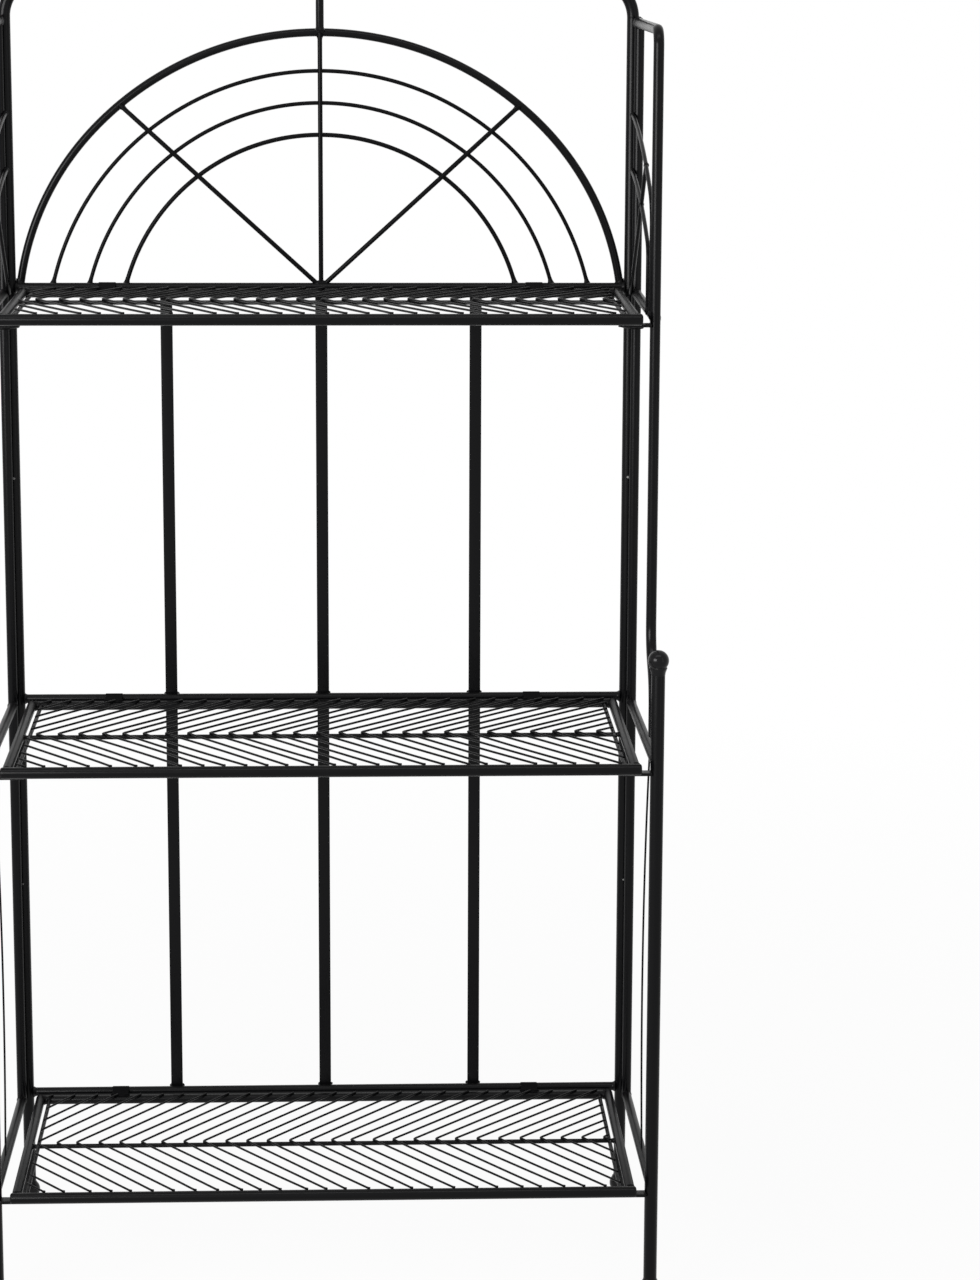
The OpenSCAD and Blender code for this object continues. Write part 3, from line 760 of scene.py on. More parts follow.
@dataclass
class BackFrame(Assembly):
    """The fixed back: uprights, arch, rails, bars, fan, feet and hinge rings."""

    shoulder_radius: float = 38.0
    shoulder_turn: float = 60.0
    crown_radius: float = 312.0
    crown_angle: float = 47.0
    hoop_r: float = 4.0
    hoop_gap: float = 0.6
    spoke_angle: float = 39.4
    first_drop: float = 37.6
    hoop_drop: float = 31.4
    first_inset: float = 32.2
    hoop_inset: float = 36.3
    wire_swells: Triple = (1.0, 1.0, 1.12)
    hub_rise: float = 0.7
    bar_corner: float = 0.4
    bar_weld: Triple = (-0.6, 0.9, -1.4)
    foot_radius: float = 10.0
    foot_flat: float = 0.5
    ring_wire: float = 1.6
    ring_sides: int = 16
    ring_wrap: float = 7.3
    ring_eye: float = 6.68
    ring_sink: float = 0.6
    spots: tuple[Pair, ...] = ((764.0, 1.3), (342.0, 0.9))
    spot_depth: float = 0.7
    spot_shift: float = 0.2
    spot_wear: float = 0.8

    def __post_init__(self) -> None:
        """Works out the arch and the fan from their driving sizes."""
        post = self.stand.upright
        self.post_x, self.post_r, self.shoulder_z = post.middle[0], post.half[0], post.high[2]
        sine, cosine = slanted(self.shoulder_turn)
        self.arch_radius = (self.post_x - self.shoulder_radius * (1 - cosine)) / cosine
        self.arch_z = self.shoulder_z + (self.shoulder_radius - self.arch_radius) * sine
        self.rail_z = self.stand.levels[Tier.TOP]
        self.rail_r = Extent.of("back_rail_top").half[2]
        self.hoop_top = Extent.of("fan_outer_hoop").high[2] - self.hoop_r - self.rail_z
        self.crown_z = self.rail_z + self.hoop_top - self.crown_radius
        self.hoop_reach = self.stand.back - Extent.of("fan_inner_hoops").middle[1]
        reach = self.post_r + self.hoop_r + self.hoop_gap
        self.foot_x = self.post_x - math.sqrt(reach**2 - self.hoop_reach**2)
        off = np.array([self.foot_x, self.crown_radius - self.hoop_top])
        rise = off @ slanted(self.crown_angle)
        self.haunch_radius = (off @ off - 2 * self.crown_radius * rise
                              + self.crown_radius**2) / (2 * (self.crown_radius - rise))

    def build(self) -> None:
        """Builds every piece of the back frame."""
        self.uprights()
        self.arch()
        self.rails()
        self.bars()
        self.outer_hoop()
        self.inner_hoops()
        self.spokes()
        self.post()
        self.feet()
        self.rings()

    def uprights(self) -> None:
        """A straight tube on each side, from its ball foot to the shoulder."""
        for side in Side:
            node = f"back_upright_{side.word}"
            skin = Skin()
            skin.tube(Extent.of(node).line(2), Y_AXIS, self.post_r, Cut.POST)
            for height, size in self.spots:
                across = side.value * (self.post_x + self.spot_shift)
                spot = self.front_view((across, height), self.post_r)
                skin.drop(spot, (size, self.spot_depth, size), self.spot_wear)
            self.finish(skin, f"upright_tube_{side.word}", TUBE_PAINT, node)

    def arch(self) -> None:
        """The bent top: a shoulder, a wide arch and a shoulder in one tube."""
        flat = arch_line((self.post_x - self.shoulder_radius, self.shoulder_z),
                         self.shoulder_radius, self.arch_z, self.arch_radius, 0,
                         self.shoulder_turn)
        skin = Skin()
        skin.tube(self.front_view(flat), Y_AXIS, self.post_r, Cut.POST)
        self.finish(skin, "arched_top_tube", TUBE_PAINT, "top_arch")

    def rails(self) -> None:
        """Three rods welded between the uprights, with a fillet at each end."""
        for tier in Tier:
            node = f"back_rail_{tier.value}"
            extent = Extent.of(node)
            skin, radius = Skin(), extent.half[2]
            skin.tube(extent.line(0), Y_AXIS, radius, Cut.BACK_RAIL)
            for side in Side:
                centre = self.front_view((side.value * self.post_x, extent.middle[2]))
                skin.collar(centre, -side.value * X_AXIS, radius, Fillet.BACK_RAIL, self.post_r)
            self.finish(skin, f"back_rod_{tier.value}", TUBE_PAINT, node)

    def bars(self) -> None:
        """Three flat bars on the rear of the rails, with a weld drop in every corner."""
        rail_r = Extent.of("back_rail_middle").half[2]
        for name in ("left", "centre", "right"):
            extent = Extent.of(f"back_bar_{name}")
            middle, half = extent.middle, extent.half
            section = strip_section(2 * half[1], 2 * half[0], self.bar_corner)
            skin = Skin()
            skin.bar(extent.line(2), X_AXIS, section, self.bar_corner)
            corner = np.array([half[0], half[1], rail_r]) + self.bar_weld
            for tier, rises in ((Tier.TOP, (-1,)), (Tier.MIDDLE, (-1, 1)), (Tier.BOTTOM, (1,))):
                centre = np.array([middle[0], middle[1], self.stand.levels[tier]])
                for side in Side:
                    for rise in rises:
                        skin.drop(centre + corner * [side.value, 1, rise], Drop.BAR.value)
            self.finish(skin, f"flat_bar_{name}", TUBE_PAINT, f"back_bar_{name}")

    def outer_hoop(self) -> None:
        """The bent bar round the fan: a haunch, a crown and a haunch."""
        shift = self.crown_radius - self.haunch_radius
        x, z = [0, self.crown_z] + shift * slanted(self.crown_angle)
        low = math.degrees(math.asin((self.rail_z - z) / self.haunch_radius))
        flat = arch_line((x, z), self.haunch_radius, self.crown_z, self.crown_radius, low,
                         90 - self.crown_angle)
        skin = Skin()
        skin.tube(self.front_view(flat, self.hoop_reach), Y_AXIS, self.hoop_r, Cut.HOOP)
        for side in Side:
            foot = self.front_view((side.value * self.foot_x, self.rail_z), self.hoop_reach)
            skin.collar(foot, Z_AXIS, self.hoop_r, Fillet.HOOP, self.rail_r)
        self.finish(skin, "fan_hoop_outer", TUBE_PAINT, "fan_outer_hoop")

    def spoke_tip(self, spoke: int) -> Array:
        """A spoke's end on the fan's crown, as place across and height over the rail."""
        return (self.crown_radius * slanted(spoke * self.spoke_angle)
                + [0, self.crown_z - self.rail_z])

    def inner_hoops(self) -> None:
        """Three bent wires under the outer hoop, with a bead at each spoke."""
        skin, level = Skin(), self.rail_z
        wire_r = Extent.of("fan_inner_hoops").half[1]
        for k, swell in enumerate(self.wire_swells):
            top = self.hoop_top - self.first_drop - k * self.hoop_drop
            half = self.foot_x - self.first_inset - k * self.hoop_inset
            centre = (top * top - half * half) / (2 * top)
            radius, wire = top - centre, wire_r * swell
            start = math.degrees(math.asin(-centre / radius))
            ring = arc((0, level + centre), radius, start, 180 - start)
            skin.tube(self.front_view(ring, self.hoop_reach), Y_AXIS, wire, Cut.FAN_WIRE)
            for side in Side:
                run = np.insert(slanted(-side.value * start), 1, 0.0)
                foot = self.front_view((side.value * half, level), self.hoop_reach)
                skin.collar(foot, run, wire, Fillet.FAN_WIRE, self.rail_r)
            for spoke in SPOKES:
                run = unit(self.spoke_tip(spoke))
                along = run[1] * centre + math.sqrt(radius**2 - (centre * run[0])**2)
                cross = self.front_view(run * along + [0, level], self.hoop_reach / 2)
                skin.drop(cross, Drop.CROSSING.value)
        self.finish(skin, "fan_hoops_inner", WIRE_PAINT, "fan_inner_hoops")

    def spokes(self) -> None:
        """Three rods from the rail to the outer hoop, and the lump of weld at their foot."""
        skin, foot = Skin(), np.array([0.0, self.rail_z])
        radius = Extent.of("fan_spokes").half[1]
        for spoke in SPOKES:
            tip = foot + self.spoke_tip(spoke)
            skin.tube(self.front_view([foot, tip]), Y_AXIS, radius, Cut.ROD)
            skin.collar(self.front_view(tip, self.hoop_reach / 2),
                        np.insert(foot - tip, 1, 0.0), radius, Fillet.SPOKE, self.hoop_r)
        hub = self.front_view((0, self.rail_z + self.rail_r * self.hub_rise))
        skin.drop(hub, Drop.HUB.value)
        self.finish(skin, "fan_spoke_rods", WIRE_PAINT, "fan_spokes")

    def post(self) -> None:
        """The short rod between the fan and the arch."""
        skin, extent = Skin(), Extent.of("centre_post")
        radius, (low, high) = extent.half[0], extent.line(2)
        skin.tube(extent.line(2), Y_AXIS, radius, Cut.HOOP)
        skin.collar(low, Z_AXIS, radius, Fillet.POST_LOW, self.hoop_r)
        skin.collar(high, -Z_AXIS, radius, Fillet.POST_HIGH, self.post_r)
        self.finish(skin, "fan_post", TUBE_PAINT, "centre_post")

    def feet(self) -> None:
        """A ball foot with a small flat under each upright."""
        skin = Skin()
        for side in Side:
            height = self.foot_radius - self.foot_flat
            centre = self.front_view((side.value * self.post_x, height))
            skin.ball(centre, self.foot_radius, self.foot_flat)
            skin.collar(centre, Z_AXIS, self.post_r, Fillet.REAR_FOOT, self.foot_radius)
        self.finish(skin, "rear_ball_feet", BALL_PAINT, "rear_feet")

    def rings(self) -> None:
        """Two wire rings a side, wrapped round the upright and round the swinging tube."""
        section = round_section(self.ring_wire, self.ring_sides)
        for side in Side:
            node = f"hinge_rings_{side.word}"
            extent = Extent.of(node)
            tube = Extent.of(f"{side.word}_rear_tube").middle[:2]
            post = np.array([side.value * self.post_x, self.stand.back])
            away = tube - post
            heading = math.degrees(math.atan2(away[1], away[0]))
            slack = (self.ring_wrap - self.ring_eye) / np.linalg.norm(away)
            quarter = 90 - math.degrees(math.asin(slack))
            outline = joined(
                arc(tuple(tube), self.ring_eye, heading - quarter, heading + quarter),
                arc(tuple(post), self.ring_wrap, heading + quarter, heading + 360 - quarter),
            )
            skin = Skin()
            for height in (extent.low[2] + self.ring_wire, extent.high[2] - self.ring_wire):
                path = np.column_stack([outline, np.full(len(outline), height)])
                skin.add(carried(section, path, Z_AXIS, closed=True), closed=True)
                rear = post - unit(away) * (self.ring_wrap - self.ring_sink)
                skin.drop(np.append(rear, height), Drop.RING.value)
            self.finish(skin, f"hinge_wire_rings_{side.word}", WIRE_PAINT, node)


@dataclass
class SideFrame(Assembly):
    """One swinging side frame: tube, hoop, leg, rails, rests and curved wires."""

    side: Side
    tube_sides: int = 32
    tube_easing: float = 0.98
    corner_radius: float = 15.0
    bend_drop: float = 296.0
    bend_radius: float = 45.0
    tail_drop: float = 398.0
    seams: Pair = (0.15, 0.85)
    seam_inset: float = 3.6
    rail_drop: float = 5.0
    outer_rise: float = 172.0
    inner_rise: float = 117.0
    rear_slope: float = 6.0
    front_slope: float = 26.0
    spoke_slope: float = 21.0
    outer_bend: float = 35.0
    inner_bend: float = 19.0
    inner_back: float = 35.0
    start_ahead: float = 1.5
    tie_radius: float = 1.0
    tie_bow: float = 32.0
    tie_back: Pair = (70.0, 100.0)
    foot_flat: float = 0.5
    rest_half: float = 6.5
    rest_thick: float = 3.0
    rest_corner: float = 0.8
    rest_least: float = 0.02
    rest_weld: float = 0.9
    rest_lump: Pair = (2.2, 2.4)

    def __post_init__(self) -> None:
        """Reads the tube, leg and wire places of this side."""
        self.body = f"{self.side.word}_side_frame"
        self.node_prefix = self.piece_prefix = f"{self.side.word}_"
        tube, leg = self.extent("rear_tube"), self.extent("leg")
        hoop, wire = self.extent("front_hoop"), self.extent("outer_wire")
        self.tube_x, self.tube_f = tube.middle[0], self.stand.back - tube.middle[1]
        self.tube_r, self.leg_r = tube.half[0], leg.half[0]
        self.leg_x, self.leg_f = leg.middle[0], self.stand.back - leg.middle[1]
        self.hoop_x = hoop.middle[0]
        self.tail_f = self.stand.back - hoop.low[1] - self.tube_r
        self.wire_x = wire.middle[0]
        self.wire_r = self.extent("corner_spoke").half[0]
        self.front_f = self.stand.back - wire.low[1] - self.wire_r
        self.level = self.stand.levels[Tier.TOP]
        self.rail_z = tube.high[2] - self.tube_r
        self.rail_r = Extent.of("top_shelf_sides").half[2]

    def build(self) -> None:
        """Builds every piece of the side frame."""
        self.rear_tube()
        self.front_hoop()
        self.leg()
        self.rails()
        self.rests()
        self.wires()
        self.tie()

    def rear_tube(self) -> None:
        """The straight tube that swings in the hinge rings."""
        skin, section = Skin(), round_section(self.tube_r, self.tube_sides)
        skin.bar(self.extent("rear_tube").line(2), X_AXIS, section,
                 self.tube_r * self.tube_easing)
        self.finish(skin, "swing_tube", TUBE_PAINT, "rear_tube")

    def front_hoop(self) -> None:
        """Top rail, corner, front tube and double bend, all one bent tube."""
        front, tail, bend = self.front_f, self.tail_f, self.bend_radius
        high, low = self.level - self.bend_drop, self.level - self.tail_drop
        turn = math.degrees(math.acos(1 - (tail - front) / (2 * bend)))
        low_bend = high - 2 * bend * math.sin(math.radians(turn))
        corner = (front - self.corner_radius, self.rail_z - self.corner_radius)
        flat = joined(
            [[self.tube_f + self.tube_r - TUCK, self.rail_z]],
            arc(corner, self.corner_radius, 90, 0),
            arc((front + bend, high), bend, 180, 180 + turn),
            arc((tail - bend, low_bend), bend, turn, 0),
            [[tail, low]],
        )
        skin = Skin()
        skin.tube(self.side_view(flat, self.hoop_x), X_AXIS, self.tube_r, Cut.BENT_TUBE)
        centre = self.side_view((self.tube_f, self.rail_z), self.hoop_x)
        skin.collar(centre, -Y_AXIS, self.tube_r, Fillet.BENT_TUBE, self.tube_r)
        across = (self.hoop_x + self.leg_x) / 2 - self.side.value * self.seam_inset
        for share in self.seams:
            seam = ((tail + self.leg_f) / 2, low + share * (low_bend - low))
            skin.drop(self.side_view(seam, across), Drop.SEAM.value)
        self.finish(skin, "bent_tube", TUBE_PAINT, "front_hoop")

    def leg(self) -> None:
        """The thick front leg with a ball knob on top and the same ball as its foot."""
        skin = Skin()
        skin.tube(self.extent("leg").line(2), X_AXIS, self.leg_r, Cut.LEG)
        self.finish(skin, "leg_tube", TUBE_PAINT, "leg")

        skin, balls = Skin(), self.extent("leg_balls")
        radius = balls.half[0]
        knob, foot = self.side_view([[self.leg_f, balls.high[2] - radius],
                                     [self.leg_f, radius - self.foot_flat]], self.leg_x)
        skin.ball(knob, radius)
        skin.ball(foot, radius, self.foot_flat)
        skin.collar(knob, -Z_AXIS, self.leg_r, Fillet.KNOB, radius)
        skin.collar(foot, Z_AXIS, self.leg_r, Fillet.LEG_FOOT, radius)
        self.finish(skin, "leg_knob_and_foot", BALL_PAINT, "leg_balls")

    def front_of(self, tier: Tier) -> Triple:
        """Place across, reach and radius of what holds a level's front end."""
        if tier is Tier.TOP:
            return self.hoop_x, self.front_f, self.tube_r
        return self.leg_x, self.leg_f, self.leg_r

    def rails(self) -> None:
        """A rail a level from the swinging tube to the tube or leg in front."""
        skin = Skin()
        for tier in Tier:
            height = self.stand.levels[tier] - self.rail_drop
            x, reach, radius = self.front_of(tier)
            rear = self.side_view((self.tube_f, height), self.tube_x)
            front = self.side_view((reach, height), x)
            run = unit(front - rear)
            ends = np.stack([rear + run * (self.tube_r - TUCK), front - run * (radius - TUCK)])
            skin.tube(ends, Z_AXIS, self.rail_r, Cut.LEVEL_RAIL)
            skin.collar(rear, run, self.rail_r, Fillet.LEVEL_REAR, self.tube_r)
            skin.collar(front, -run, self.rail_r, Fillet.LEVEL_FRONT, radius)
        self.finish(skin, "level_rails", SIDE_PAINT, "side_rails")

    def rests(self) -> None:
        """Flat tongues with a round end, welded to the front tube or leg."""
        skin, extent, half = Skin(), self.extent("shelf_rests"), self.rest_half
        sign = self.side.value
        tip = extent.low[0] if self.side is Side.RIGHT else extent.high[0]
        rise = self.rest_thick / 2 - (self.stand.levels[Tier.BOTTOM] - extent.low[2])
        section = strip_section(self.rest_thick, 2 * half, self.rest_corner)
        bow = np.sin(np.linspace(0.0, math.pi / 2, BOW_POINTS))
        width = np.append(np.sqrt(np.clip(1 - (1 - bow) ** 2, self.rest_least, 1)), 1.0)
        for tier in Tier:
            x, reach, radius = self.front_of(tier)
            place = (reach, self.stand.levels[tier] + rise)
            across = np.append(tip + sign * half * bow, x - sign * (radius - TUCK))
            rings = carried(section, self.side_view(place, across), Y_AXIS)
            depth = self.stand.back - reach
            rings[..., 1] = depth + (rings[..., 1] - depth) * width[:, None]
            skin.add(rings)
            seam = self.side_view(place, x - sign * radius * self.rest_weld)
            deep, high = self.rest_lump
            skin.drop(seam, (deep, half * self.rest_weld, high))
        self.finish(skin, "rest_tongues", TUBE_PAINT, "shelf_rests")

    def curve(self, reach: float, bend: float, rise: float) -> tuple[Array, Array, float]:
        """The line of a curved side wire.

        A long arc starts on the swinging tube at the rear slope and ends at the front
        slope, and a short bend then turns the wire down.

        Args:
            reach: Reach of the wire's straight part.
            bend: Radius of the short bend.
            rise: Height over the level on the swinging tube.

        Returns:
            Points of reach and height, and the long arc's centre and radius.
        """
        rear, front = slanted(self.rear_slope), slanted(self.front_slope)
        radius = (reach - self.tube_f - bend * (1 - front[0])) / (front[0] - rear[0])
        centre = np.array([self.tube_f, self.level + rise]) - radius * rear
        small = centre + (radius - bend) * front
        flat = joined(
            arc(tuple(centre), radius, 90 - self.rear_slope, 90 - self.front_slope),
            arc(tuple(small), bend, 90 - self.front_slope, 0),
            [[reach, self.level - self.rail_drop]],
        )
        return flat, centre, radius

    def wires(self) -> None:
        """Two curved wires and the spoke across them, with a bead at each crossing."""
        outer, centre, radius = self.curve(self.front_f, self.outer_bend, self.outer_rise)
        inner, _, _ = self.curve(self.front_f - self.inner_back, self.inner_bend, self.inner_rise)
        for name, flat in (("outer", outer), ("inner", inner)):
            skin, line = Skin(), self.side_view(flat, self.wire_x)
            skin.tube(line, X_AXIS, self.wire_r, Cut.CURVE)
            skin.collar(line[-1], Z_AXIS, self.wire_r, Fillet.CURVE, self.rail_r)
            skin.drop(line[0] - Y_AXIS * self.start_ahead, Drop.CURVE_START.value)
            self.finish(skin, f"curved_wire_{name}", WIRE_PAINT, f"{name}_wire")
        low = np.array([self.tube_f + self.tube_r, self.level - self.rail_drop])
        tip = centre + radius * slanted(self.spoke_slope)
        run = unit(tip - low)
        share = (inner - low) @ run
        off = np.linalg.norm(inner - low - share[:, None] * run, axis=1)
        ends = self.side_view([low, tip], self.wire_x)
        skin = Skin()
        skin.tube(ends, X_AXIS, self.wire_r, Cut.CURVE)
        skin.drop(ends[1], Drop.SPOKE_TIP.value)
        meet = self.side_view(inner[np.argmin(off)], self.wire_x)
        skin.drop(meet, Drop.SPOKE_MEET.value)
        self.finish(skin, "spoke_wire", WIRE_PAINT, "corner_spoke")

    def tie(self) -> None:
        """The thin bowed wire between the two lower rails."""
        high, low = (np.array([self.leg_f - back, self.stand.levels[tier] - self.rail_drop])
                     for back, tier in zip(self.tie_back, (Tier.MIDDLE, Tier.BOTTOM)))
        chord = np.linalg.norm(high - low)
        radius = (chord * chord / 4 + self.tie_bow**2) / (2 * self.tie_bow)
        lean = math.degrees(math.atan2(*(high - low)))
        centre = (high + low) / 2 + (radius - self.tie_bow) * slanted(90 + lean)
        half = math.degrees(math.asin(chord / 2 / radius))
        flat = arc(tuple(centre), radius, 180 - lean - half, 180 - lean + half)
        across = self.extent("lower_tie").middle[0]
        skin = Skin()
        skin.tube(self.side_view(flat, across), X_AXIS, self.tie_radius, Cut.TIE)
        self.finish(skin, "bowed_wire", WIRE_PAINT, "lower_tie")


@dataclass
class Shelf(Assembly):
    """One lifting shelf: rails, borders, centre rod, bent wires and hinge straps."""

    tier: Tier
    place: float
    rear_run: float
    front_run: float
    slack: float
    seed: int
    pitch: float = 21.1
    rear_pitch: float = 22.6
    front_pitch: float = 20.8
    wire_radius: float = 1.1
    wire_sink: float = 0.1
    slip_most: float = 1.8
    slip_share: float = 0.5
    bow_share: float = 0.6
    turn_reach: float = 2.4
    turn_shift: float = 0.6
    apex_lift: float = 0.3
    roundings: Triple = (2.2, 1.6, 1.2)
    tip_turn: Triple = (2.2, -1.0, 0.1)
    stub: float = 2.0
    apex_weld: float = 0.9
    front_sink: float = 0.6
    rear_sink: float = 0.5
    strap_turn: float = 322.0
    strap_wide: float = 17.0
    strap_thick: float = 0.5
    strap_clear: float = 0.05
    strap_corner: float = 0.3
    strap_reach: Pair = (2.0, 4.0)
    strap_weld: Triple = (1.5, 1.0, 0.4)
    strap_worn: Triple = (4.0, 0.80, 0.62)
    strap_wear: float = 0.2

    def __post_init__(self) -> None:
        """Reads the rails of this shelf."""
        self.body = f"{self.tier.value}_shelf"
        self.node_prefix, self.piece_prefix = f"{self.body}_", f"{self.tier.value}_"
        self.front, self.rear = self.extent("front_rail"), self.extent("rear_rail")
        self.sides, self.border = self.extent("sides"), self.extent("border_wires")
        self.rod = self.extent("centre_rod")
        self.height = self.rear.middle[2]
        self.random = np.random.default_rng(self.seed)

    def build(self) -> None:
        """Builds every piece of the shelf."""
        self.rails()
        self.edges()
        self.centre_rod()
        self.wires()
        self.straps()

    def rails(self) -> None:
        """The front and the rear rail."""
        for name, rail, cut in (("front", self.front, Cut.FRONT_RAIL),
                                ("rear", self.rear, Cut.HOOP)):
            skin = Skin()
            skin.tube(rail.line(0), Z_AXIS, rail.half[2], cut)
            self.finish(skin, f"{name}_rod", TUBE_PAINT, f"{name}_rail")

    def edges(self) -> None:
        """The two side rods and the thin border rods inside them."""
        for name, extent, part in (("side_rods", self.sides, "sides"),
                                   ("border_rods", self.border, "border_wires")):
            radius, skin = extent.half[2], Skin()
            for side in Side:
                rear, front, nose, tail, hinge = np.array([
                    [side.value * (extent.half[0] - radius), depth, self.height]
                    for depth in (extent.high[1], extent.low[1],
                                  self.front.high[1] - self.front_sink,
                                  self.rear.low[1] + self.rear_sink, self.rear.middle[1])])
                skin.tube(np.stack([rear, front]), Z_AXIS, radius, Cut.EDGE)
                skin.collar(nose, Y_AXIS, radius, Fillet.EDGE_FRONT)
                if extent is self.border:
                    skin.collar(tail, -Y_AXIS, radius, Fillet.BORDER_REAR)
                else:
                    skin.collar(hinge, -side.value * X_AXIS, self.rear.half[2],
                                Fillet.SIDE_REAR, radius)
            self.finish(skin, name, SIDE_PAINT, part)

    def centre_rod(self) -> None:
        """The rod that the bent wires hang over."""
        skin = Skin()
        skin.tube(self.rod.line(0), Z_AXIS, self.rod.half[2], Cut.ROD)
        foot_x = self.sides.half[0] - 2 * self.sides.half[2] + self.rear_sink
        for side in Side:
            foot = np.array([side.value * foot_x, self.rod.middle[1], self.height])
            skin.collar(foot, -side.value * X_AXIS, self.rod.half[2], Fillet.CENTRE_ROD)
        self.finish(skin, "centre_rod", TUBE_PAINT, "centre_rod")

    def wires(self) -> None:
        """Wires bent over the centre rod into arrows, each a little off its place."""
        edge = self.border.half[0] - self.border.half[2]
        lap = self.wire_radius - self.wire_sink
        rod_top, rear_top = (self.height + rail.half[2] + lap for rail in (self.rod, self.rear))
        reach = edge + max(self.rear_run, self.front_run)
        tip_back = self.front.half[2] / 2
        tip_y = self.front.middle[1] + tip_back
        tip_z = self.height + math.sqrt((self.front.half[2] + lap) ** 2 - tip_back**2)
        skin = Skin()
        for k in range(-math.ceil(reach / self.front_pitch), math.ceil(edge / self.pitch) + 1):
            draws = self.random.normal(0.0, 1.0, 5).clip(-self.slip_most, self.slip_most)
            slip = self.slack * draws
            apex, rear, front = (
                np.array([self.place + run + k * pitch + shift, depth, height])
                for run, pitch, shift, depth, height in (
                    (0.0, self.pitch, self.slip_share * slip[0], self.rod.middle[1], rod_top),
                    (self.rear_run, self.rear_pitch, slip[1], self.rear.middle[1], rear_top),
                    (self.front_run, self.front_pitch, slip[2], tip_y, tip_z)))
            self.bent_wire(skin, (rear, apex, front), self.bow_share * slip[3:], edge)
        self.finish(skin, "bent_wires", WIRE_PAINT, "wires")

    def bent_wire(self, skin: Skin, stops: tuple[Array, Array, Array], bows: Array,
                  edge: float) -> None:
        """Adds one bent wire, cut off at the border rods.

        Each half runs straight but for a bow of 4 b s (1 - s) sideways. Behind the rod
        the wire turns square to it, and on the front rail its tip turns along the rail.

        Args:
            skin: Surface that takes the wire.
            stops: Tip on the rear rail, middle over the centre rod, tip on the front rail.
            bows: Sideways bow of the rear and of the front half.
            edge: Place across of the border rods' middle.
        """
        rear, apex, front = stops
        turn, over, end = self.roundings
        share = np.linspace(0.0, 1.0, BOW_POINTS)[:, None]
        corner = apex + (self.turn_reach / (rear[1] - apex[1])) * (rear - apex) * [0, 1, 1]
        corner[0] -= self.turn_shift
        behind, ahead = rear + share * (corner - rear), apex + share * (front - apex)
        for half, bow in zip((behind, ahead), bows):
            half[:, :1] += bow * 4 * share * (1 - share)
        tip = front + np.array(self.tip_turn)
        path = joined(
            behind[:-1],
            rounded(behind[-2], corner, apex, turn),
            rounded(corner, apex + Z_AXIS * self.apex_lift, ahead[1], over),
            ahead[1:-1],
            rounded(ahead[-2], front, tip, end),
            tip[None],
        )
        for part in cropped(path, edge):
            if abs(part[-1, 1] - part[0, 1]) > self.stub:
                skin.tube(part, Z_AXIS, self.wire_radius, Cut.SHELF_WIRE)
        if abs(apex[0]) < edge - self.stub:
            skin.drop(apex - Z_AXIS * self.apex_weld, Drop.SHELF_WIRE.value)

    def straps(self) -> None:
        """Strips rolled round the back rail and laid onto the shelf's rear rail.

        The strip's middle line leaves the rear rail's top, runs back and turns round
        the back rail.
        """
        rail_r = Extent.of(f"back_rail_{self.tier.value}").half[2]
        level, wide, rear = self.stand.levels[self.tier], self.strap_wide, self.rear
        turn_r = rail_r + self.strap_clear + self.strap_thick / 2
        reach, drop = self.stand.back - rear.middle[1], level - self.height
        lean = math.degrees(math.atan2(drop, reach))
        wrap = arc((0.0, level), turn_r, 90 - lean, 90 - lean + self.strap_turn)
        run = slanted(90 + lean)
        beyond, before = self.strap_reach
        flat = joined([wrap[0] + run * (math.hypot(reach, drop) + beyond),
                       wrap[0] + run * before], wrap)
        section = strip_section(self.strap_thick, wide, self.strap_corner)
        inset, back, lift = self.strap_weld
        worn_in, worn_front, worn_up = self.strap_worn
        skin = Skin()
        for side in Side:
            x = side.value * (self.extent("straps").half[0] - wide / 2)
            skin.bar(self.side_view(flat, x), X_AXIS, section, self.strap_corner)
            for end in (-1, 1):
                spot = np.array([x + end * (wide / 2 - inset), rear.middle[1] + back,
                                 self.height + rear.half[2] + lift])
                skin.drop(spot, Drop.STRAP.value)
            worn = self.side_view((turn_r * worn_front, level + turn_r * worn_up),
                                        x - wide / 2 + worn_in)
            skin.drop(worn, Drop.STRAP_WEAR.value, self.strap_wear)
        self.finish(skin, "hinge_straps", STRAP_PAINT, "straps")


@dataclass(frozen=True)
class SoftBox:
    """A rectangular lamp aimed at the middle of the stand, in metres and watts."""

    name: str
    place: Triple
    size: Pair
    power: float
    target: Triple = (0.0, 0.0, 0.7)

    def build(self) -> None:
        """Makes the lamp."""
        data = bpy.data.lights.new(self.name, "AREA")
        data.shape = "RECTANGLE"
        data.size, data.size_y = self.size
        data.energy = self.power
        obj = linked(self.name, data)
        aim = Vector(self.target) - Vector(self.place)
        obj.location = self.place
        obj.rotation_euler = aim.to_track_quat("-Z", "Y").to_euler()


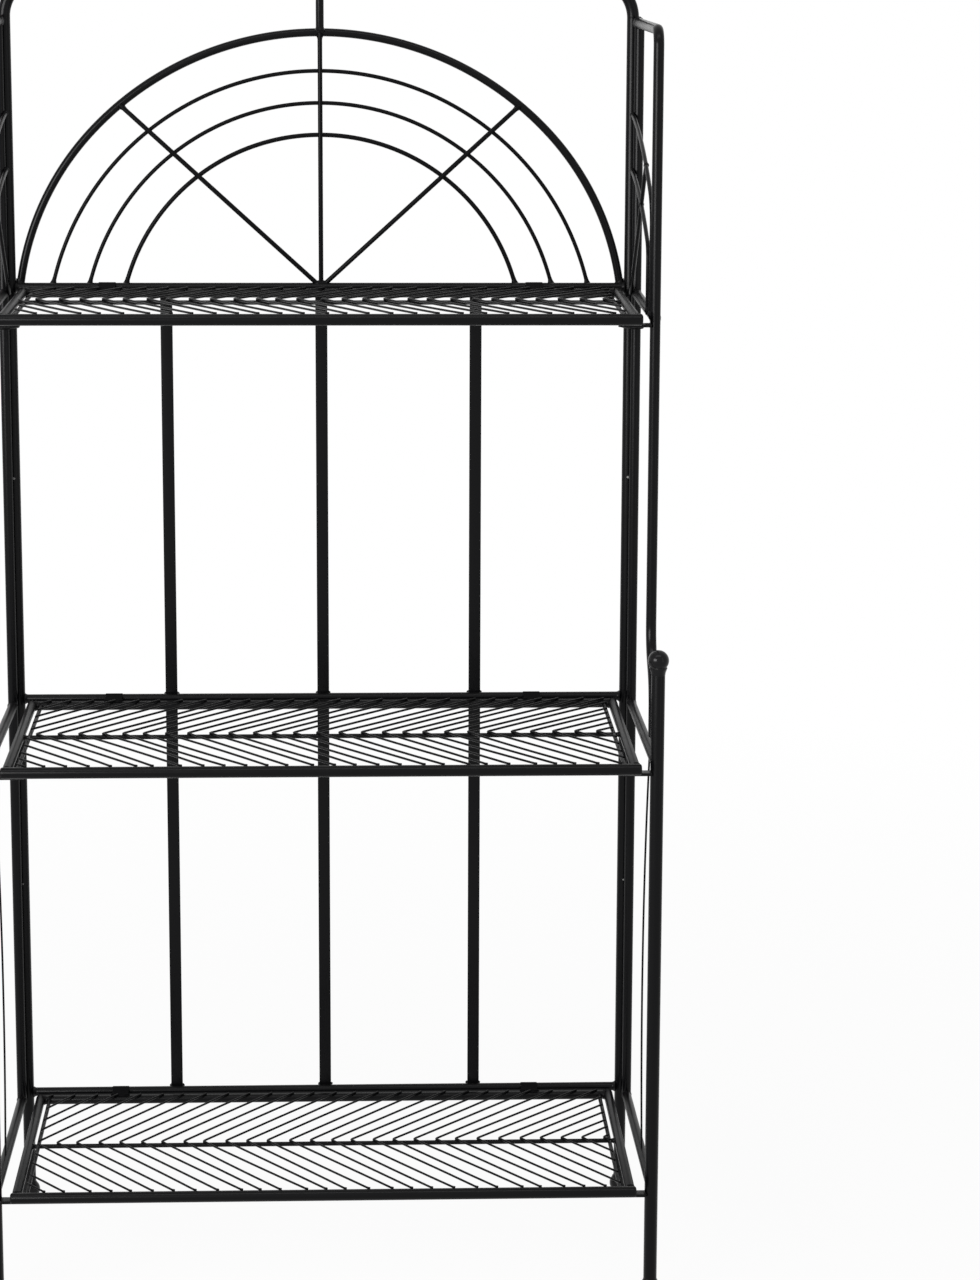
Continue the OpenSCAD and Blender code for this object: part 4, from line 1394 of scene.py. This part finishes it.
@dataclass
class Studio:
    """Pale floor, white surroundings, soft lamps and the photograph's camera.

    The lamps are one wide box at the left, a weak strip at the right and a long box
    above the front.
    """

    eye: Triple = (0.01644, -3.39837, 1.31766)
    heading: float = 2.4885
    dip: float = 11.5006
    roll: float = 0.2499
    focal_pixels: float = 3543.69
    frame_pixels: tuple[int, int] = (980, 1280)
    sensor_width: float = 36.0
    sight: float = 200.0
    floor_half: float = 60.0
    floor_colour: tuple[float, ...] = (0.86, 0.86, 0.86, 1.0)
    floor_rough: float = 0.9
    soft_light: float = 0.30
    lamps: tuple[SoftBox, ...] = (
        SoftBox("key_soft_box", (-1.9, -2.4, 1.4), size=(1.9, 1.3), power=96.0),
        SoftBox("fill_soft_box", (2.4, -2.2, 1.3), size=(0.36, 2.4), power=4.0),
        SoftBox("over_soft_box", (0.0, -1.3, 3.1), size=(2.8, 0.5), power=16.0),
    )

    def build(self) -> None:
        """Makes the floor, the world, the lamps and the camera."""
        self.floor()
        self.world()
        for lamp in self.lamps:
            lamp.build()
        self.camera()
        bpy.context.scene.view_settings.view_transform = "Standard"

    def seen(self, lay: Nodes) -> Socket:
        """One where a camera, glossy or transmission ray arrives, else nought."""
        path = lay.add("ShaderNodeLightPath").outputs
        shiny = lay.math("MAXIMUM", path["Is Glossy Ray"], path["Is Transmission Ray"])
        return lay.math("MAXIMUM", path["Is Camera Ray"], shiny)

    def floor(self) -> None:
        """A wide pale floor that stays white to the camera but keeps a faint shadow."""
        corners = self.floor_half * np.array([[-1, -1, 0], [1, -1, 0], [1, 1, 0], [-1, 1, 0]])
        mesh = bpy.data.meshes.new("studio_floor")
        mesh.from_pydata(corners, [], [[0, 1, 2, 3]])
        obj = linked("studio_floor", mesh)
        made = bpy.data.materials.new("pale_floor")
        made.use_nodes = True
        lay = Nodes(made.node_tree)
        shader = made.node_tree.nodes["Principled BSDF"]
        shader.inputs["Base Color"].default_value = self.floor_colour
        shader.inputs["Roughness"].default_value = self.floor_rough
        shader.inputs["Specular IOR Level"].default_value = 0.0
        glow = lay.add("ShaderNodeEmission", Color=WHITE)
        place = lay.add("ShaderNodeTexCoord").outputs["Object"]
        away = lay.add("ShaderNodeVectorMath", operation="LENGTH", Vector=place)
        fade = lay.add("ShaderNodeMapRange", Value=away.outputs["Value"], From_Min=0.5,
                       From_Max=2.5, To_Min=0.94, To_Max=1.0)
        share = lay.math("MULTIPLY", self.seen(lay), fade.outputs["Result"])
        lay.surface(share, shader.outputs[0], glow.outputs[0], "Material Output")
        mesh.materials.append(made)

    def world(self) -> None:
        """White to the camera and in reflections, soft grey light otherwise."""
        world = bpy.data.worlds.new("studio_world")
        bpy.context.scene.world = world
        world.use_nodes = True
        lay = Nodes(world.node_tree)
        soft = world.node_tree.nodes["Background"]
        soft.inputs["Color"].default_value = WHITE
        soft.inputs["Strength"].default_value = self.soft_light
        white = lay.add("ShaderNodeBackground", Color=WHITE, Strength=1.0)
        lay.surface(self.seen(lay), soft.outputs[0], white.outputs[0], "World Output")

    def camera(self) -> None:
        """The camera where the photograph was taken from, with its angle of view."""
        data = bpy.data.cameras.new("photo_camera")
        obj = linked("photo_camera", data)
        yaw, dip, roll = (math.radians(a) for a in (self.heading, self.dip, self.roll))
        ahead = Vector((math.sin(yaw) * math.cos(dip), math.cos(yaw) * math.cos(dip),
                        -math.sin(dip)))
        level = Vector((math.cos(yaw), -math.sin(yaw), 0.0))
        over = level.cross(ahead)
        right = level * math.cos(roll) + over * math.sin(roll)
        up = over * math.cos(roll) - level * math.sin(roll)
        turned = Matrix((right, up, -ahead)).transposed().to_4x4()
        obj.matrix_world = Matrix.Translation(Vector(self.eye)) @ turned
        data.sensor_width = self.sensor_width
        data.lens = self.focal_pixels * self.sensor_width / max(self.frame_pixels)
        data.clip_end = self.sight
        bpy.context.scene.camera = obj


def main() -> None:
    """Builds the stand and its studio."""
    logging.basicConfig(level=logging.INFO, format="%(message)s", stream=sys.stdout)
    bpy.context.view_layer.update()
    stand = Stand()
    assemblies = [
        BackFrame(stand),
        SideFrame(stand, Side.LEFT),
        SideFrame(stand, Side.RIGHT),
        Shelf(stand, Tier.TOP, place=0.0, rear_run=74.0, front_run=67.0, slack=1.8, seed=11),
        Shelf(stand, Tier.MIDDLE, place=-5.0, rear_run=134.0, front_run=98.0, slack=2.0, seed=12),
        Shelf(stand, Tier.BOTTOM, place=6.5, rear_run=118.0, front_run=98.0, slack=1.3, seed=13),
    ]
    for assembly in assemblies:
        assembly.build()
    Studio().build()


if __name__ == "__main__":
    main()
